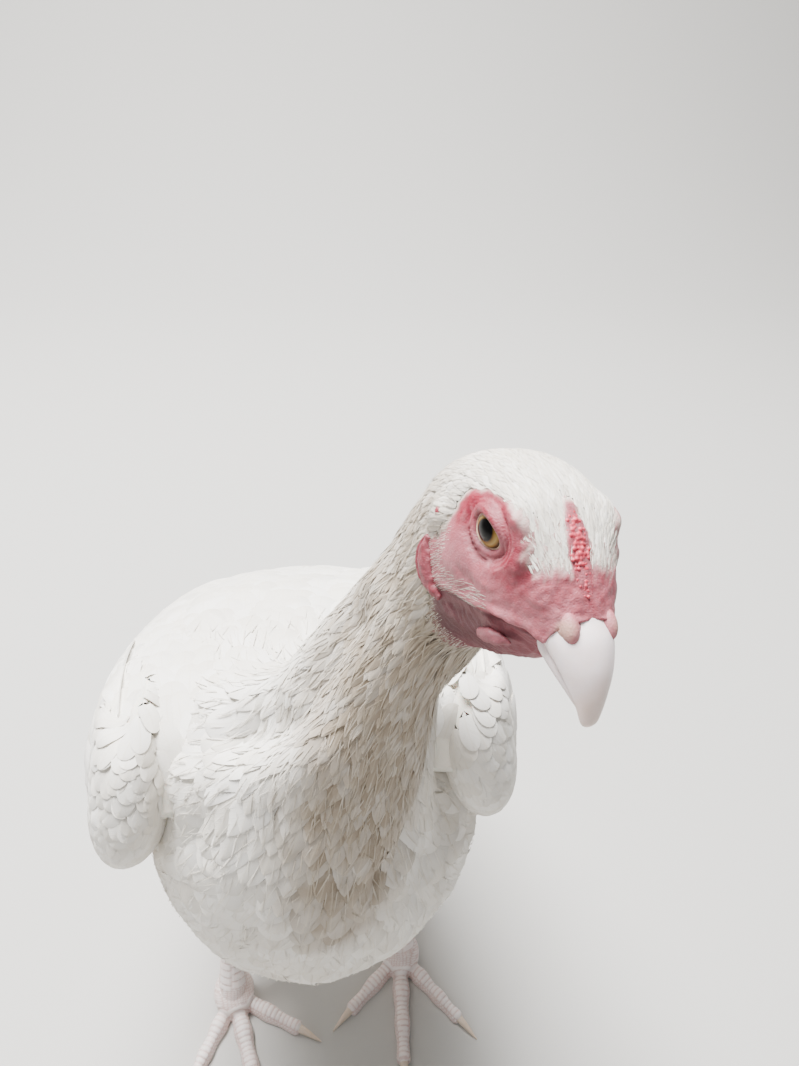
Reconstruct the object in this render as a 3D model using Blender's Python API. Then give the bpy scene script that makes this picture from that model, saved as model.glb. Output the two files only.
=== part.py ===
"""A white game hen of the Aseel breed, life size, standing on its own feet.

The bird faces -Y, its left is +X and up is +Z. The origin is on the floor, below the middle of its box.
Trunk, neck and head are one loft, parted by thin cuts, and everything else grows from it.
Tables hold millimetres, and MM turns them into metres as each piece is made.
"""

import math

import bmesh
import bpy
import numpy as np
from mathutils import Matrix, Vector

MM = 0.001
GAP = 0.3
# Between the feet is where the tables start from. The origin moves below the middle of the bird's box.
BOX_MIDDLE = (-1.8, 58, 0)
SIDES = 24

# Lines plan of the trunk and neck: dorsal point, ventral point and half width at each station.
TRUNK = (
    ((0, 152, 172), (0, 146, 152), 12),
    ((0, 134, 190), (0, 120, 140), 28),
    ((0, 106, 212), (0, 90, 132), 44),
    ((0, 70, 238), (0, 50, 123), 61),
    ((0, 32, 260), (0, 10, 119), 68),
    ((0, 0, 269), (0, -32, 122), 70),
    ((0, -20, 273), (0, -69, 138), 66),
    ((1, -30, 277), (0, -90, 163), 57),
    ((3, -36, 281), (2, -98, 195), 47),
    ((8, -40, 287), (7, -98, 227), 37),
    ((14, -42, 296), (12, -94, 256), 30),
)
NECK = (
    ((20, -43, 310), (19, -89, 283), 25),
    ((28, -44, 326), (28, -84, 305), 22),
    ((37, -46, 345), (39, -79, 323), 19.5),
)
# The back is flatter than an ellipse.
BACK_FULLNESS = 0.7
TRUNK_STEPS, NECK_STEPS, HEAD_STEPS = 2, 2, 3

# The head is drawn in its own frame, x forward, y left and z up, from midway between the eyes.
HEAD = (
    ((-37, -17), (-3, -50), 18),
    ((-33, -5), (1, -44), 18.3),
    ((-24, 5), (5, -39.5), 18.5),
    ((-13, 10.3), (9.5, -35), 18.4),
    ((-2, 11.4), (13.5, -31.3), 17.6),
    ((6.5, 8.5), (17, -27.8), 15.8),
    ((14, 4), (19.3, -24.8), 13.2),
    ((20.2, -0.8), (21.4, -22.2), 10.8),
    ((25, -4.5), (23, -19.5), 9.0),
)
HEAD_PLACE = (56.5, -89, 377)
HEAD_YAW, HEAD_PITCH, HEAD_ROLL = 15, -10, -12
# Forms raised from the head's loft or sunk in it: centre, radius and push, on both sides.
HEAD_FORMS = {
    "brow": ((4, 15, 8), 10, 2.2),
    "eye hollow": ((-1.5, 17, -1), 9.5, -3.0),
    "cheek": ((-5, 16, -14), 10, 1.6),
    "ear tuft": ((-21, 16, -8), 8, 1.8),
    "jaw": ((12, 12, -21), 8, 1.0),
}
EYE_RADIUS = 7.0
EYE_CENTRE = (-1.8, 10.4, -1)
EYE_LOOK = (0.12, 1.0, 0.02)
LID_RING, LID_ROLL = 5.8, 1.5
MOUTH_CORNER, MOUTH_FRONT = (10, -16.5), (24, -13.2)
MOUTH_SLOT, MOUTH_DEPTH = 0.8, 3.0
# A pad of soft skin reaches over the beak's root on each side, with the nostril under its edge.
NOSTRIL_PAD, NOSTRIL_PAD_SIZE = (25, 4.6, -7.8), (4.4, 2.6, 3.4)
NOSTRIL, NOSTRIL_SIZE = (26.4, 6.9, -9.4), (2.0, 1.3, 0.6)
EAR_HOLE = (-21, 17.5, -12)
EAR_HOLE_RADIUS = 1.7
EARLOBE = (-16.5, 17, -27)
EARLOBE_SIZE = (4.8, 3.2, 9.5)
WATTLE = (12.5, 10.5, -23.5)
WATTLE_SIZE = (5, 2.2, 3.4)
BEAK_UPPER = (
    ((24.95, -4.5), (23.9, -13.0), 8.9),
    ((29.6, -6.3), (28.5, -14.5), 7.7),
    ((34.4, -10.3), (33, -17), 5.9),
    ((38, -15.5), (36.6, -19.8), 3.9),
    ((40, -20), (39, -22.2), 2.4),
    ((40.6, -22.6), (40.1, -23.4), 1.1),
)
BEAK_LOWER = (
    ((23.8, -13.6), (23, -19.1), 8.3),
    ((28.3, -15.1), (28, -20), 7),
    ((32.8, -17.6), (32.4, -21), 4.9),
    ((36, -20.4), (35.8, -22.2), 2.6),
    ((37.6, -22.0), (37.5, -22.8), 0.8),
)
# The pea comb: three rows of beads from the beak's root up the brow.
COMB_FROM, COMB_TO = -1, 20
COMB_ROWS = {0: (7, 2.0), 2.4: (6, 1.6), -2.4: (6, 1.6)}

# The folded wing, left side: top edge, lower edge and thickness from the wrist to the tip.
WING = (
    ((64, -68, 252), (66, -72, 232), 14),
    ((68, -54, 266), (76, -60, 212), 26),
    ((70, -28, 270), (81, -36, 196), 30),
    ((69, 8, 258), (82, 0, 182), 27),
    ((64, 44, 244), (78, 34, 171), 21),
    ((57, 80, 224), (70, 72, 161), 14),
    ((49, 112, 198), (58, 106, 151), 9),
    ((42, 138, 172), (47, 134, 146), 5),
)
WING_STEPS, WING_SIDES, INNER_SHARE = 2, 12, 0.6
WING_SHIFTS = {"left": (-9, 8, 5), "right": (-5, 0, 0)}
# The wing's core thins out under its feathers and ends at this share of the length.
CORE_END, CORE_THINS_FROM = 0.6, 0.16
# Tiers of the wing's feathers. Each runs from its first feather to its last, given as shares of the
# wing's length and of its height from the top: roots, tips, then half width and depth under the
# wing's surface at root and tip.
WING_TIERS = {
    "primaries": (5, (0.16, 0.7), (0.22, 0.6), (0.86, 0.97), (1.0, 0.62), (7.5, 7.5), (9, 5)),
    "secondaries": (10, (0.2, 0.75), (0.4, 0.14), (0.78, 0.97), (0.97, 0.26), (9, 10), (7, 1.4)),
    "greater coverts": (8, (0.14, 0.76), (0.3, 0.08), (0.46, 0.92), (0.66, 0.16), (8.5, 9.5), (5, 0.2)),
    "median coverts": (5, (0.08, 0.72), (0.16, 0.06), (0.28, 0.88), (0.42, 0.1), (10, 10.5), (3.5, -1)),
}
# Half width of a feather along its length, as shares of its widest.
FEATHER_SHAPE = ((0, 0.5), (0.3, 0.9), (0.65, 1), (0.9, 0.62), (1, 0.16))
FEATHER_THICK, FEATHER_TILT, TIP_TILT = 0.6, 9, 20

TAIL = (
    ((0, 152.3, 171.7), (0, 146.3, 151.7), 12),
    ((0, 163, 163), (0, 155, 145), 12.5),
    ((0, 176, 152), (0, 169, 139), 11),
    ((0, 188, 141), (0, 184, 134), 7),
)
# Pairs of tail feathers fan out from the middle and lie one under the next: how many pairs, length,
# half width, spread in degrees, drop from pair to pair and lift above the first tier.
TAIL_ROOT, TAIL_SLOPE, TAIL_ROLL = (0, 156, 157), -38, 5
TAIL_TIERS = {
    "tail feathers": (6, 108, 12, 4.5, 1.8, 0),
    "upper coverts": (2, 60, 11, 7, 1.8, 7),
}

# The left leg: front point, back point and half width from the hip down.
LEG = (
    ((40, -38, 178), (40, 44, 190), 30),
    ((44, -34, 155), (43, 42, 158), 28),
    ((48, -20, 130), (47, 38, 132), 22),
    ((50, -6, 110), (49, 32, 111), 15),
    ((49, 3, 96), (49, 28, 97), 10.5),
    ((48.5, 6, 86), (48.5, 26, 88), 8.4),
    ((48.5, 6, 77), (48.5, 25.5, 80), 8.2),
    ((48, 1, 63), (48, 17, 66), 6.6),
    ((48, -7, 46), (48, 8, 49), 6.2),
    ((48, -13, 29), (48, 2, 32), 6.4),
    ((48, -20, 15), (48, -1, 17), 8),
)
LEG_CUT = 5
LEG_SIDES, LEG_STEPS = 14, 2
FOOT_PAD = (48, -12, 7)
FOOT_PAD_SIZE = (11, 13, 9)
# How far each foot stands forward or back of the other.
FOOT_SHIFTS = {"left": 7, "right": -7}
# How far each foot turns towards the midline, in degrees.
FOOT_TURNS = {"left": 2, "right": 14}
# Each toe: heading from straight ahead towards the midline in degrees, length without the claw, root and tip radius, joints.
TOES = {
    "middle": (2, 52, 5.2, 3.6, 3),
    "inner": (46, 37, 4.9, 3.5, 2),
    "outer": (-40, 43, 4.8, 3.3, 3),
    "hind": (160, 20, 4.2, 3.0, 1),
}
CLAW_LENGTH, HIND_CLAW_LENGTH = 13, 9
TOE_SIDES = 8

COLOURS = {
    "feather": ((0.86, 0.84, 0.79), 0.75),
    "skin": ((0.78, 0.42, 0.42), 0.6),
    "comb": ((0.74, 0.16, 0.2), 0.55),
    "beak": ((0.85, 0.72, 0.7), 0.4),
    "eye": ((0.72, 0.5, 0.22), 0.1),
    "leg": ((0.82, 0.68, 0.63), 0.6),
    "claw": ((0.82, 0.74, 0.66), 0.45),
}


def unit(v):
    return v / np.linalg.norm(v)


def catmull(rows, steps):
    """Rows on a smooth curve through the given rows, with steps[i] of them from row i to the next."""
    padded = np.vstack([2 * rows[0] - rows[1], rows, 2 * rows[-1] - rows[-2]])
    made = []
    for i, count in enumerate(steps):
        a, b, c, d = padded[i : i + 4]
        for t in np.arange(count) / count:
            bend, turn = 2 * a - 5 * b + 4 * c - d, 3 * b - a - 3 * c + d
            made.append((2 * b + (c - a) * t + bend * t**2 + turn * t**3) / 2)
    made.append(rows[-1])
    return np.array(made)


def round_outline(sides):
    """Unit points (lateral, vertical) of a ring, the first at the top."""
    angles = 2 * np.pi * np.arange(sides) / sides
    return np.column_stack([np.sin(angles), np.cos(angles)])


def flat_outline(sides, bottom=True, level=0.3):
    """A ring whose lower side, or upper side, is flat."""
    made = round_outline(sides)
    height = np.maximum(made[:, 1], -level)
    made[:, 1] = (height + level) / (1 + level) * 2 - 1
    if not bottom:
        made[:, 1] *= -1
    return made


def rings_of(rows, outline):
    """A ring of points for each row (dorsal, ventral, half width), and the normal of its plane."""
    centres = (rows[:, 0:3] + rows[:, 3:6]) / 2
    ways = np.gradient(centres, axis=0)
    rings, normals = [], []
    for row, centre, way in zip(rows, centres, ways):
        up = (row[0:3] - row[3:6]) / 2
        side = unit(np.cross(up, way))
        rings.append(centre + np.outer(outline[:, 0] * row[6], side) + np.outer(outline[:, 1], up))
        normals.append(unit(np.cross(side, up)))
    return rings, normals


def material(name):
    found = bpy.data.materials.get(name)
    if found:
        return found
    colour, roughness = COLOURS[name]
    made = bpy.data.materials.new(name)
    made.use_nodes = True
    shader = made.node_tree.nodes["Principled BSDF"]
    shader.inputs["Base Color"].default_value = (*colour, 1)
    shader.inputs["Roughness"].default_value = roughness
    shader.inputs["Metallic"].default_value = 0
    return made


def object_of(name, bm):
    """A new object from a bmesh in millimetres."""
    bmesh.ops.recalc_face_normals(bm, faces=bm.faces)
    bmesh.ops.scale(bm, vec=(MM, MM, MM), verts=bm.verts)
    mesh = bpy.data.meshes.new(name)
    bm.to_mesh(mesh)
    bm.free()
    made = bpy.data.objects.new(name, mesh)
    bpy.context.scene.collection.objects.link(made)
    return made


def loft(name, rings, mirror=1):
    """A closed skin over rings of equal count, with a flat cap on each end."""
    bm = bmesh.new()
    flip = np.array([mirror, 1, 1])
    loops = [[bm.verts.new(p * flip) for p in ring] for ring in rings]
    for first, second in zip(loops, loops[1:]):
        for i in range(len(first)):
            j = (i + 1) % len(first)
            bm.faces.new((first[i], first[j], second[j], second[i]))
    bm.faces.new(loops[0][::-1])
    bm.faces.new(loops[-1])
    return object_of(name, bm)


def ball(name, place, size, matrix=None, segments=16, floor=None):
    """An ellipsoid of the given half sizes, in the frame of matrix, cut off flat at floor."""
    bm = bmesh.new()
    bmesh.ops.create_uvsphere(bm, u_segments=segments, v_segments=max(5, segments // 2), radius=1)
    turn = (matrix or Matrix()) @ Matrix.Translation(Vector(place)) @ Matrix.Diagonal((*size, 1))
    bmesh.ops.transform(bm, matrix=turn, verts=bm.verts)
    if floor is not None:
        plane = {"plane_co": (0, 0, floor), "plane_no": (0, 0, -1)}
        cut = bmesh.ops.bisect_plane(bm, geom=[*bm.verts, *bm.edges, *bm.faces], clear_outer=True, **plane)
        edges = [e for e in cut["geom_cut"] if isinstance(e, bmesh.types.BMEdge)]
        bmesh.ops.contextual_create(bm, geom=edges)
    return object_of(name, bm)


def boolean(obj, operation, others, solver="EXACT"):
    """The operation by all of the others, which are then removed."""
    group = bpy.data.collections.new(obj.name + " " + operation)
    bpy.context.scene.collection.children.link(group)
    for other in others:
        bpy.context.scene.collection.objects.unlink(other)
        group.objects.link(other)
    step = obj.modifiers.new(operation, "BOOLEAN")
    step.operation = operation
    step.solver = solver
    step.operand_type = "COLLECTION"
    step.collection = group
    bpy.context.view_layer.objects.active = obj
    bpy.ops.object.modifier_apply(modifier=step.name)
    for other in others:
        bpy.data.objects.remove(other)
    bpy.data.collections.remove(group)
    return obj


def swollen(obj, by=GAP):
    """A copy of the object with its skin moved out, for cutting what sits on it."""
    made = obj.copy()
    made.data = obj.data.copy()
    bpy.context.scene.collection.objects.link(made)
    bm = bmesh.new()
    bm.from_mesh(made.data)
    bm.normal_update()
    shifts = [v.normal * v.calc_shell_factor() * by * MM for v in bm.verts]
    for v, shift in zip(bm.verts, shifts):
        v.co += shift
    bm.to_mesh(made.data)
    bm.free()
    return made


def largest_surface(obj):
    """Drops every closed surface of the object but the largest."""
    bm = bmesh.new()
    bm.from_mesh(obj.data)
    left, islands = set(bm.verts), []
    while left:
        island, edge = set(), [left.pop()]
        while edge:
            v = edge.pop()
            island.add(v)
            for e in v.link_edges:
                other = e.other_vert(v)
                if other in left:
                    left.discard(other)
                    edge.append(other)
        islands.append(island)
    if len(islands) > 1:
        kept = max(islands, key=lambda vs: max(v.co.z for v in vs) - min(v.co.z for v in vs) + len(vs) * 1e-6)
        bmesh.ops.delete(bm, geom=[v for v in bm.verts if v not in kept], context="VERTS")
        bm.to_mesh(obj.data)
    bm.free()


def finish(obj, name, colour):
    """Names the node, gives it its material and shades it smooth."""
    largest_surface(obj)
    obj.name = name
    obj.data.name = name
    obj.data.materials.clear()
    obj.data.materials.append(material(colour))
    obj.data.shade_smooth()
    obj.data.set_sharp_from_angle(angle=math.radians(50))
    return obj


def head_frame():
    """From the head's frame to the bird's."""
    turn = (
        Matrix.Rotation(math.radians(HEAD_YAW - 90), 4, "Z")
        @ Matrix.Rotation(math.radians(-HEAD_PITCH), 4, "Y")
        @ Matrix.Rotation(math.radians(HEAD_ROLL), 4, "X")
    )
    return Matrix.Translation(Vector(HEAD_PLACE)) @ turn


def head_rows(table):
    """Stations drawn in the head's frame as rows in the bird's."""
    place = head_frame()
    rows = []
    for (dx, dz), (vx, vz), width in table:
        rows.append([*(place @ Vector((dx, 0, dz))), *(place @ Vector((vx, 0, vz))), width])
    return np.array(rows, float)


def table_rows(table):
    return np.array([[*a, *b, width] for a, b, width in table], float)


def mirrored(point, side):
    return Vector((point[0], point[1] * side, point[2]))


def sculpt_head(rings):
    """Raises and sinks the head's forms, out from the middle of each ring."""
    place = head_frame()
    shaped = []
    for ring in rings:
        middle = ring.mean(0)
        moved = ring.copy()
        for centre, radius, push in HEAD_FORMS.values():
            for side in (1, -1):
                spot = np.array(place @ mirrored(centre, side))
                away = np.linalg.norm(ring - spot, axis=1) / radius
                share = np.where(away < 1, (1 - away**2) ** 2, 0)
                outward = (ring - middle) / np.linalg.norm(ring - middle, axis=1)[:, None]
                moved += outward * (push * share)[:, None]
        shaped.append(moved)
    return shaped


def body_rings():
    """The whole loft's rings and normals, and where each part of it starts."""
    rows = np.vstack([table_rows(TRUNK), table_rows(NECK), head_rows(HEAD)])
    trunk, neck, head = len(TRUNK), len(NECK), len(HEAD)
    steps = [TRUNK_STEPS] * (trunk - 1) + [NECK_STEPS] * (neck + 1) + [HEAD_STEPS] * (head - 1)
    outline = round_outline(SIDES)
    above = outline[:, 1] > 0
    outline[above] = np.sign(outline[above]) * abs(outline[above]) ** BACK_FULLNESS
    rings, normals = rings_of(catmull(rows, steps), outline)
    rings = sculpt_head(rings)
    starts = np.cumsum([0, *steps])
    cuts = {
        "torso": (0, starts[trunk - 1]),
        "neck_lower": (starts[trunk - 1], starts[trunk + 1]),
        "neck_upper": (starts[trunk + 1], starts[trunk + neck]),
        "head": (starts[trunk + neck], len(rings) - 1),
    }
    return rings, normals, cuts


def body_part(name, rings, normals, first, last, mirror=1):
    """One length of a loft, drawn back half a gap at each cut."""
    made = [ring.copy() for ring in rings[first : last + 1]]
    made[0] += normals[first] * GAP / 2
    made[-1] -= normals[last] * GAP / 2
    return loft(name, made, mirror)


def eye_frame(side):
    """At the eye's centre, with z looking out of the eye."""
    look = mirrored(EYE_LOOK, side)
    turn = look.to_track_quat("Z", "Y").to_matrix().to_4x4()
    return head_frame() @ Matrix.Translation(mirrored(EYE_CENTRE, side)) @ turn


def lid(side):
    """A rolled ring of skin round the eye's opening."""
    height = math.sqrt((EYE_RADIUS + GAP) ** 2 - LID_RING**2)
    bm = bmesh.new()
    count, sides = 18, 6
    loops = []
    for i in range(count):
        round_about = Matrix.Rotation(2 * math.pi * i / count, 4, "Z")
        loop = []
        for j in range(sides):
            a = 2 * math.pi * j / sides
            point = Vector((LID_RING + LID_ROLL * math.cos(a), 0, height + LID_ROLL * math.sin(a)))
            loop.append(bm.verts.new(eye_frame(side) @ round_about @ point))
        loops.append(loop)
    for i in range(count):
        for j in range(sides):
            k, m = (i + 1) % count, (j + 1) % sides
            bm.faces.new((loops[i][j], loops[k][j], loops[k][m], loops[i][m]))
    return object_of("lid", bm)


def mouth_slot(side):
    """A thin plate that cuts the line of the mouth into one cheek."""
    back, front = Vector((MOUTH_CORNER[0], 0, MOUTH_CORNER[1])), Vector((MOUTH_FRONT[0] + 4, 0, MOUTH_FRONT[1] + 1.7))
    middle = (back + front) / 2
    along = front - back
    turn = Matrix.Rotation(-math.atan2(along.z, along.x), 4, "Y")
    half = (along.length / 2, MOUTH_DEPTH, MOUTH_SLOT / 2)
    bm = bmesh.new()
    bmesh.ops.create_cube(bm, size=2)
    lean = Matrix.Rotation(math.radians(-14 * side), 4, "Z")
    shift = Matrix.Translation(Vector((0, side * (12 + MOUTH_DEPTH - 3.4), 0)))
    place = head_frame() @ Matrix.Translation(middle) @ turn @ shift @ lean @ Matrix.Diagonal((*half, 1))
    bmesh.ops.transform(bm, matrix=place, verts=bm.verts)
    return object_of("slot", bm)


def make_head(head):
    """Fuses the lids on, and cuts eye sockets, nostrils, ears and the line of the mouth."""
    place = head_frame()
    pads = [ball("pad", mirrored(NOSTRIL_PAD, side), NOSTRIL_PAD_SIZE, place, 10) for side in (1, -1)]
    boolean(head, "UNION", [lid(1), lid(-1), *pads])
    cuts = []
    for side in (1, -1):
        socket = EYE_RADIUS + GAP
        cuts.append(ball("socket", (0, 0, 0), (socket,) * 3, eye_frame(side), 16))
        cuts.append(ball("nostril", mirrored(NOSTRIL, side), NOSTRIL_SIZE, place, 8))
        cuts.append(ball("ear", mirrored(EAR_HOLE, side), (EAR_HOLE_RADIUS,) * 3, place, 8))
        cuts.append(mouth_slot(side))
    boolean(head, "DIFFERENCE", cuts)
    return finish(head, "head", "skin")


def make_eyes():
    for word, side in (("left", 1), ("right", -1)):
        eye = ball("eye", (0, 0, 0), (EYE_RADIUS,) * 3, eye_frame(side), 16)
        finish(eye, f"eye_{word}", "eye")


def make_beak(head):
    """The upper beak, which makes room for the nostrils' pads, and the lower beak."""
    rows = catmull(head_rows(BEAK_UPPER), [2] * (len(BEAK_UPPER) - 1))
    rings, normals = rings_of(rows, flat_outline(16))
    rings[0] = rings[0] + normals[0] * GAP / 2
    upper = boolean(loft("beak", rings), "DIFFERENCE", [swollen(head)])
    finish(upper, "beak_upper", "beak")
    rows = catmull(head_rows(BEAK_LOWER), [2] * (len(BEAK_LOWER) - 1))
    rings, normals = rings_of(rows, flat_outline(16, bottom=False))
    rings[0] = rings[0] + normals[0] * GAP / 2
    finish(loft("beak", rings), "beak_lower", "beak")


def crown_height(x):
    """Height of the head's dorsal line over x, in the head's frame."""
    line = sorted(d for d, _, _ in HEAD)
    return float(np.interp(x, [d[0] for d in line], [d[1] for d in line]))


def make_comb(body):
    """Three rows of beads that stand on the brow, fused into one low comb."""
    place = head_frame()
    beads = []
    for offset, (count, radius) in COMB_ROWS.items():
        for i in range(count):
            share = (i + 0.5) / count
            x = COMB_FROM + (COMB_TO - COMB_FROM) * share
            grow = 0.6 + 0.4 * math.sin(math.pi * (0.15 + 0.75 * share))
            size = (radius * 1.25, radius * grow, radius * grow)
            side_drop = abs(offset) * 0.22
            beads.append(ball("bead", (x, offset * grow, crown_height(x) - side_drop), size, place, 6))
    comb = boolean(beads[0], "UNION", beads[1:])
    boolean(comb, "DIFFERENCE", [swollen(body)])
    finish(comb, "comb", "comb")


def make_folds(body):
    """The red earlobes behind the cheeks and the small wattles under the jaw."""
    place = head_frame()
    for word, side in (("left", 1), ("right", -1)):
        for name, spot, size in (("earlobe", EARLOBE, EARLOBE_SIZE), ("wattle", WATTLE, WATTLE_SIZE)):
            fold = ball(name, mirrored(spot, side), size, place, 10)
            boolean(fold, "DIFFERENCE", [swollen(body)])
            finish(fold, f"{name}_{word}", "comb")


def vane(name, middles, outs, half_width, mirror=1):
    """A flat feather along the middle points, facing the out directions, and split alike on both faces."""
    shares = [share for share, _ in FEATHER_SHAPE]
    middles = np.asarray(middles, float)
    ways = np.gradient(middles, axis=0)
    flip = np.array([mirror, 1, 1])
    bm = bmesh.new()
    loops = []
    for i, (share, width) in enumerate(FEATHER_SHAPE):
        side = unit(np.cross(outs[i], ways[i])) * half_width * width
        thick = unit(np.cross(ways[i], side)) * FEATHER_THICK / 2
        corners = (side + thick, -side + thick, -side - thick, side - thick)
        loops.append([bm.verts.new((middles[i] + corner) * flip) for corner in corners])
    for first, second in zip(loops, loops[1:]):
        bm.faces.new((first[0], first[1], second[1]))
        bm.faces.new((first[0], second[1], second[0]))
        bm.faces.new((first[2], first[3], second[2]))
        bm.faces.new((first[3], second[3], second[2]))
        bm.faces.new((first[1], first[2], second[2], second[1]))
        bm.faces.new((first[3], first[0], second[0], second[3]))
    bm.faces.new(loops[0][::-1])
    bm.faces.new(loops[-1])
    return object_of(name, bm)


def wing_rows(word):
    """The wing's stations in even steps of its length."""
    rows = catmull(table_rows(WING), [WING_STEPS] * (len(WING) - 1))
    rows[:, :6] += np.tile(WING_SHIFTS[word], 2)
    return rows


def wing_spot(rows, along, down, depth):
    """The point this deep under the wing's outer face, and the way out of the face there."""
    place = np.clip(along, 0, 1) * (len(rows) - 1)
    row = np.array([np.interp(place, np.arange(len(rows)), column) for column in rows.T])
    top, low = row[0:3], row[3:6]
    way = rows[-1, 0:3] - rows[0, 0:3]
    out = unit(np.cross(low - top, way))
    if out[0] < 0:
        out = -out
    bulge = row[6] / 2 * math.sqrt(max(0, 1 - (2 * down - 1) ** 2))
    return top + (low - top) * down + out * (bulge - depth), out


def wing_feathers(word, side):
    """Every tier's vanes, each tilted so that its lower edge lies over the next below."""
    rows = wing_rows(word)
    made = []
    for name, (count, root_a, root_b, tip_a, tip_b, widths, depths) in WING_TIERS.items():
        for i in range(count):
            share = i / (count - 1)
            root = np.array(root_a) + (np.array(root_b) - root_a) * share
            tip = np.array(tip_a) + (np.array(tip_b) - tip_a) * share
            middles, outs = [], []
            for along, _ in FEATHER_SHAPE:
                at = root + (tip - root) * along
                depth = depths[0] + (depths[1] - depths[0]) * along**1.3
                middle, out = wing_spot(rows, at[0], at[1], depth)
                middles.append(middle)
                outs.append(out)
            way = middles[-1] - middles[0]
            leans = [math.radians(FEATHER_TILT + (TIP_TILT - FEATHER_TILT) * s) for s, _ in FEATHER_SHAPE]
            outs = [o * math.cos(a) + unit(np.cross(o, way)) * math.sin(a) for o, a in zip(outs, leans)]
            half_width = widths[0] + (widths[1] - widths[0]) * share
            made.append(vane(name, middles, outs, half_width, side))
    return made


def make_wing(word, side, body, thigh):
    rows = wing_rows(word)
    share = np.linspace(0, 1, len(rows))
    core = rows[share <= CORE_END]
    thin = np.clip((share[share <= CORE_END] - CORE_THINS_FROM) / (CORE_END - CORE_THINS_FROM), 0, 1)
    core[:, 6] *= 1 - 0.75 * thin
    middle = (core[:, 0:3] + core[:, 3:6]) / 2
    core[:, 0:3] += (middle - core[:, 0:3]) * (0.6 * thin**2)[:, None]
    core[:, 3:6] += (middle - core[:, 3:6]) * (0.6 * thin**2)[:, None]
    outline = round_outline(WING_SIDES)
    outline[:, 0] *= np.where(outline[:, 0] < 0, 0.5, 0.5 * INNER_SHARE)
    wing = loft("wing", rings_of(core, outline)[0], side)
    # Exact cuts are slow on this many feathers.
    boolean(wing, "UNION", wing_feathers(word, side), "MANIFOLD")
    boolean(wing, "DIFFERENCE", [swollen(body), swollen(thigh)])
    finish(wing, f"wing_{word}", "feather")


def make_tail(body):
    """A short core and the fans of feathers that grow from it."""
    rows = catmull(table_rows(TAIL), [2] * (len(TAIL) - 1))
    rings, _ = rings_of(rows, round_outline(12))
    tail = loft("tail", rings)
    feathers = []
    for name, (pairs, length, half_width, spread, drop, lift) in TAIL_TIERS.items():
        for i in range(pairs):
            for side in (1, -1):
                turn = math.radians(spread * (i + 0.35))
                slope = math.radians(TAIL_SLOPE)
                fan = Matrix.Rotation(slope, 4, "X") @ Matrix.Rotation(-turn * side, 4, "Z")
                way = np.array(fan @ Vector((0, 1, 0)))
                up = np.array(fan @ Vector((math.tan(math.radians(TAIL_ROLL * i)) * side, 0, 1)))
                start = np.array(TAIL_ROOT) + unit(up) * (lift * 0.6 - drop * i + drop / 4 * side)
                start += np.array([side * (0.45 * half_width + 0.9 * i), 0, 0])
                reach = length * (1 - 0.03 * i)
                bow = np.array([0, 0, lift * 0.35 + 2])
                middles = [start + way * reach * s + bow * math.sin(math.pi * s) for s, _ in FEATHER_SHAPE]
                feathers.append(vane(name, middles, [up] * len(middles), half_width))
    boolean(tail, "UNION", feathers, "MANIFOLD")
    boolean(tail, "DIFFERENCE", [swollen(body)])
    finish(tail, "tail", "feather")


def make_leg(word, side, body):
    """Thigh, shank, foot pad, four toes and their claws."""
    rings, normals = leg_rings(word)
    middle = LEG_CUT * LEG_STEPS
    thigh = body_part("thigh", rings, normals, 0, middle, side)
    boolean(thigh, "DIFFERENCE", [swollen(body)])
    shank = body_part("shank", rings, normals, middle, len(rings) - 1, side)
    place = Matrix.Diagonal((side, 1, 1, 1))
    shift = Vector((0, FOOT_SHIFTS[word], 0))
    pad = ball("pad", Vector(FOOT_PAD) + shift, FOOT_PAD_SIZE, place, 14, floor=0)
    boolean(pad, "DIFFERENCE", [swollen(shank)])
    stood = [pad, shank]
    for name in TOES:
        stood.append(make_toe(name, word, side, stood))
    finish(thigh, f"thigh_{word}", "feather")
    finish(shank, f"shank_{word}", "leg")
    finish(pad, f"foot_{word}", "leg")
    return thigh


def leg_rings(word):
    rows = catmull(table_rows(LEG), [LEG_STEPS] * (len(LEG) - 1))
    share = np.linspace(0, 1, len(rows)) ** 1.5
    rows[:, [1, 4]] += (FOOT_SHIFTS[word] * share)[:, None]
    return rings_of(rows, round_outline(LEG_SIDES))


def make_toe(name, word, side, stood):
    """A toe with a flat sole, swollen at its joints, and its claw."""
    heading, length, root, tip, joints = TOES[name]
    turn = math.radians(heading + FOOT_TURNS[word])
    way = np.array([-math.sin(turn), -math.cos(turn), 0])
    start = np.array([FOOT_PAD[0], FOOT_PAD[1] + FOOT_SHIFTS[word], 0])
    rows = []
    for share in np.linspace(0, 1, 3 * joints + 2):
        radius = root + (tip - root) * share
        radius *= 1 + 0.09 * math.cos(2 * math.pi * joints * share)
        at = start + way * (4 + length * share)
        rows.append([*(at + [0, 0, 1.75 * radius]), *at, radius])
    rows.append([*(at + way * 1.6 + [0, 0, 1.35 * tip]), *(at + way * 1.6), tip * 0.72])
    rings, _ = rings_of(np.array(rows), flat_outline(TOE_SIDES))
    toe = loft("toe", rings, side)
    boolean(toe, "DIFFERENCE", [swollen(other) for other in stood])
    finish(toe, f"toe_{name}_{word}", "leg")
    claw_length = HIND_CLAW_LENGTH if name == "hind" else CLAW_LENGTH
    base = at + way * (1.6 + GAP)
    rows = []
    for share in (0, 0.3, 0.6, 0.85, 1):
        width = tip * 0.62 * (1 - share) + 0.35
        top = 1.3 * tip * (1 - share**1.6) + 1.1
        low = max(0.25, 0.8 * (1 - share))
        spot = base + way * claw_length * share
        rows.append([*(spot + [0, 0, top]), *(spot + [0, 0, low]), width])
    claw = loft("claw", rings_of(np.array(rows), round_outline(6))[0], side)
    finish(claw, f"claw_{name}_{word}", "claw")
    return toe


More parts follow.
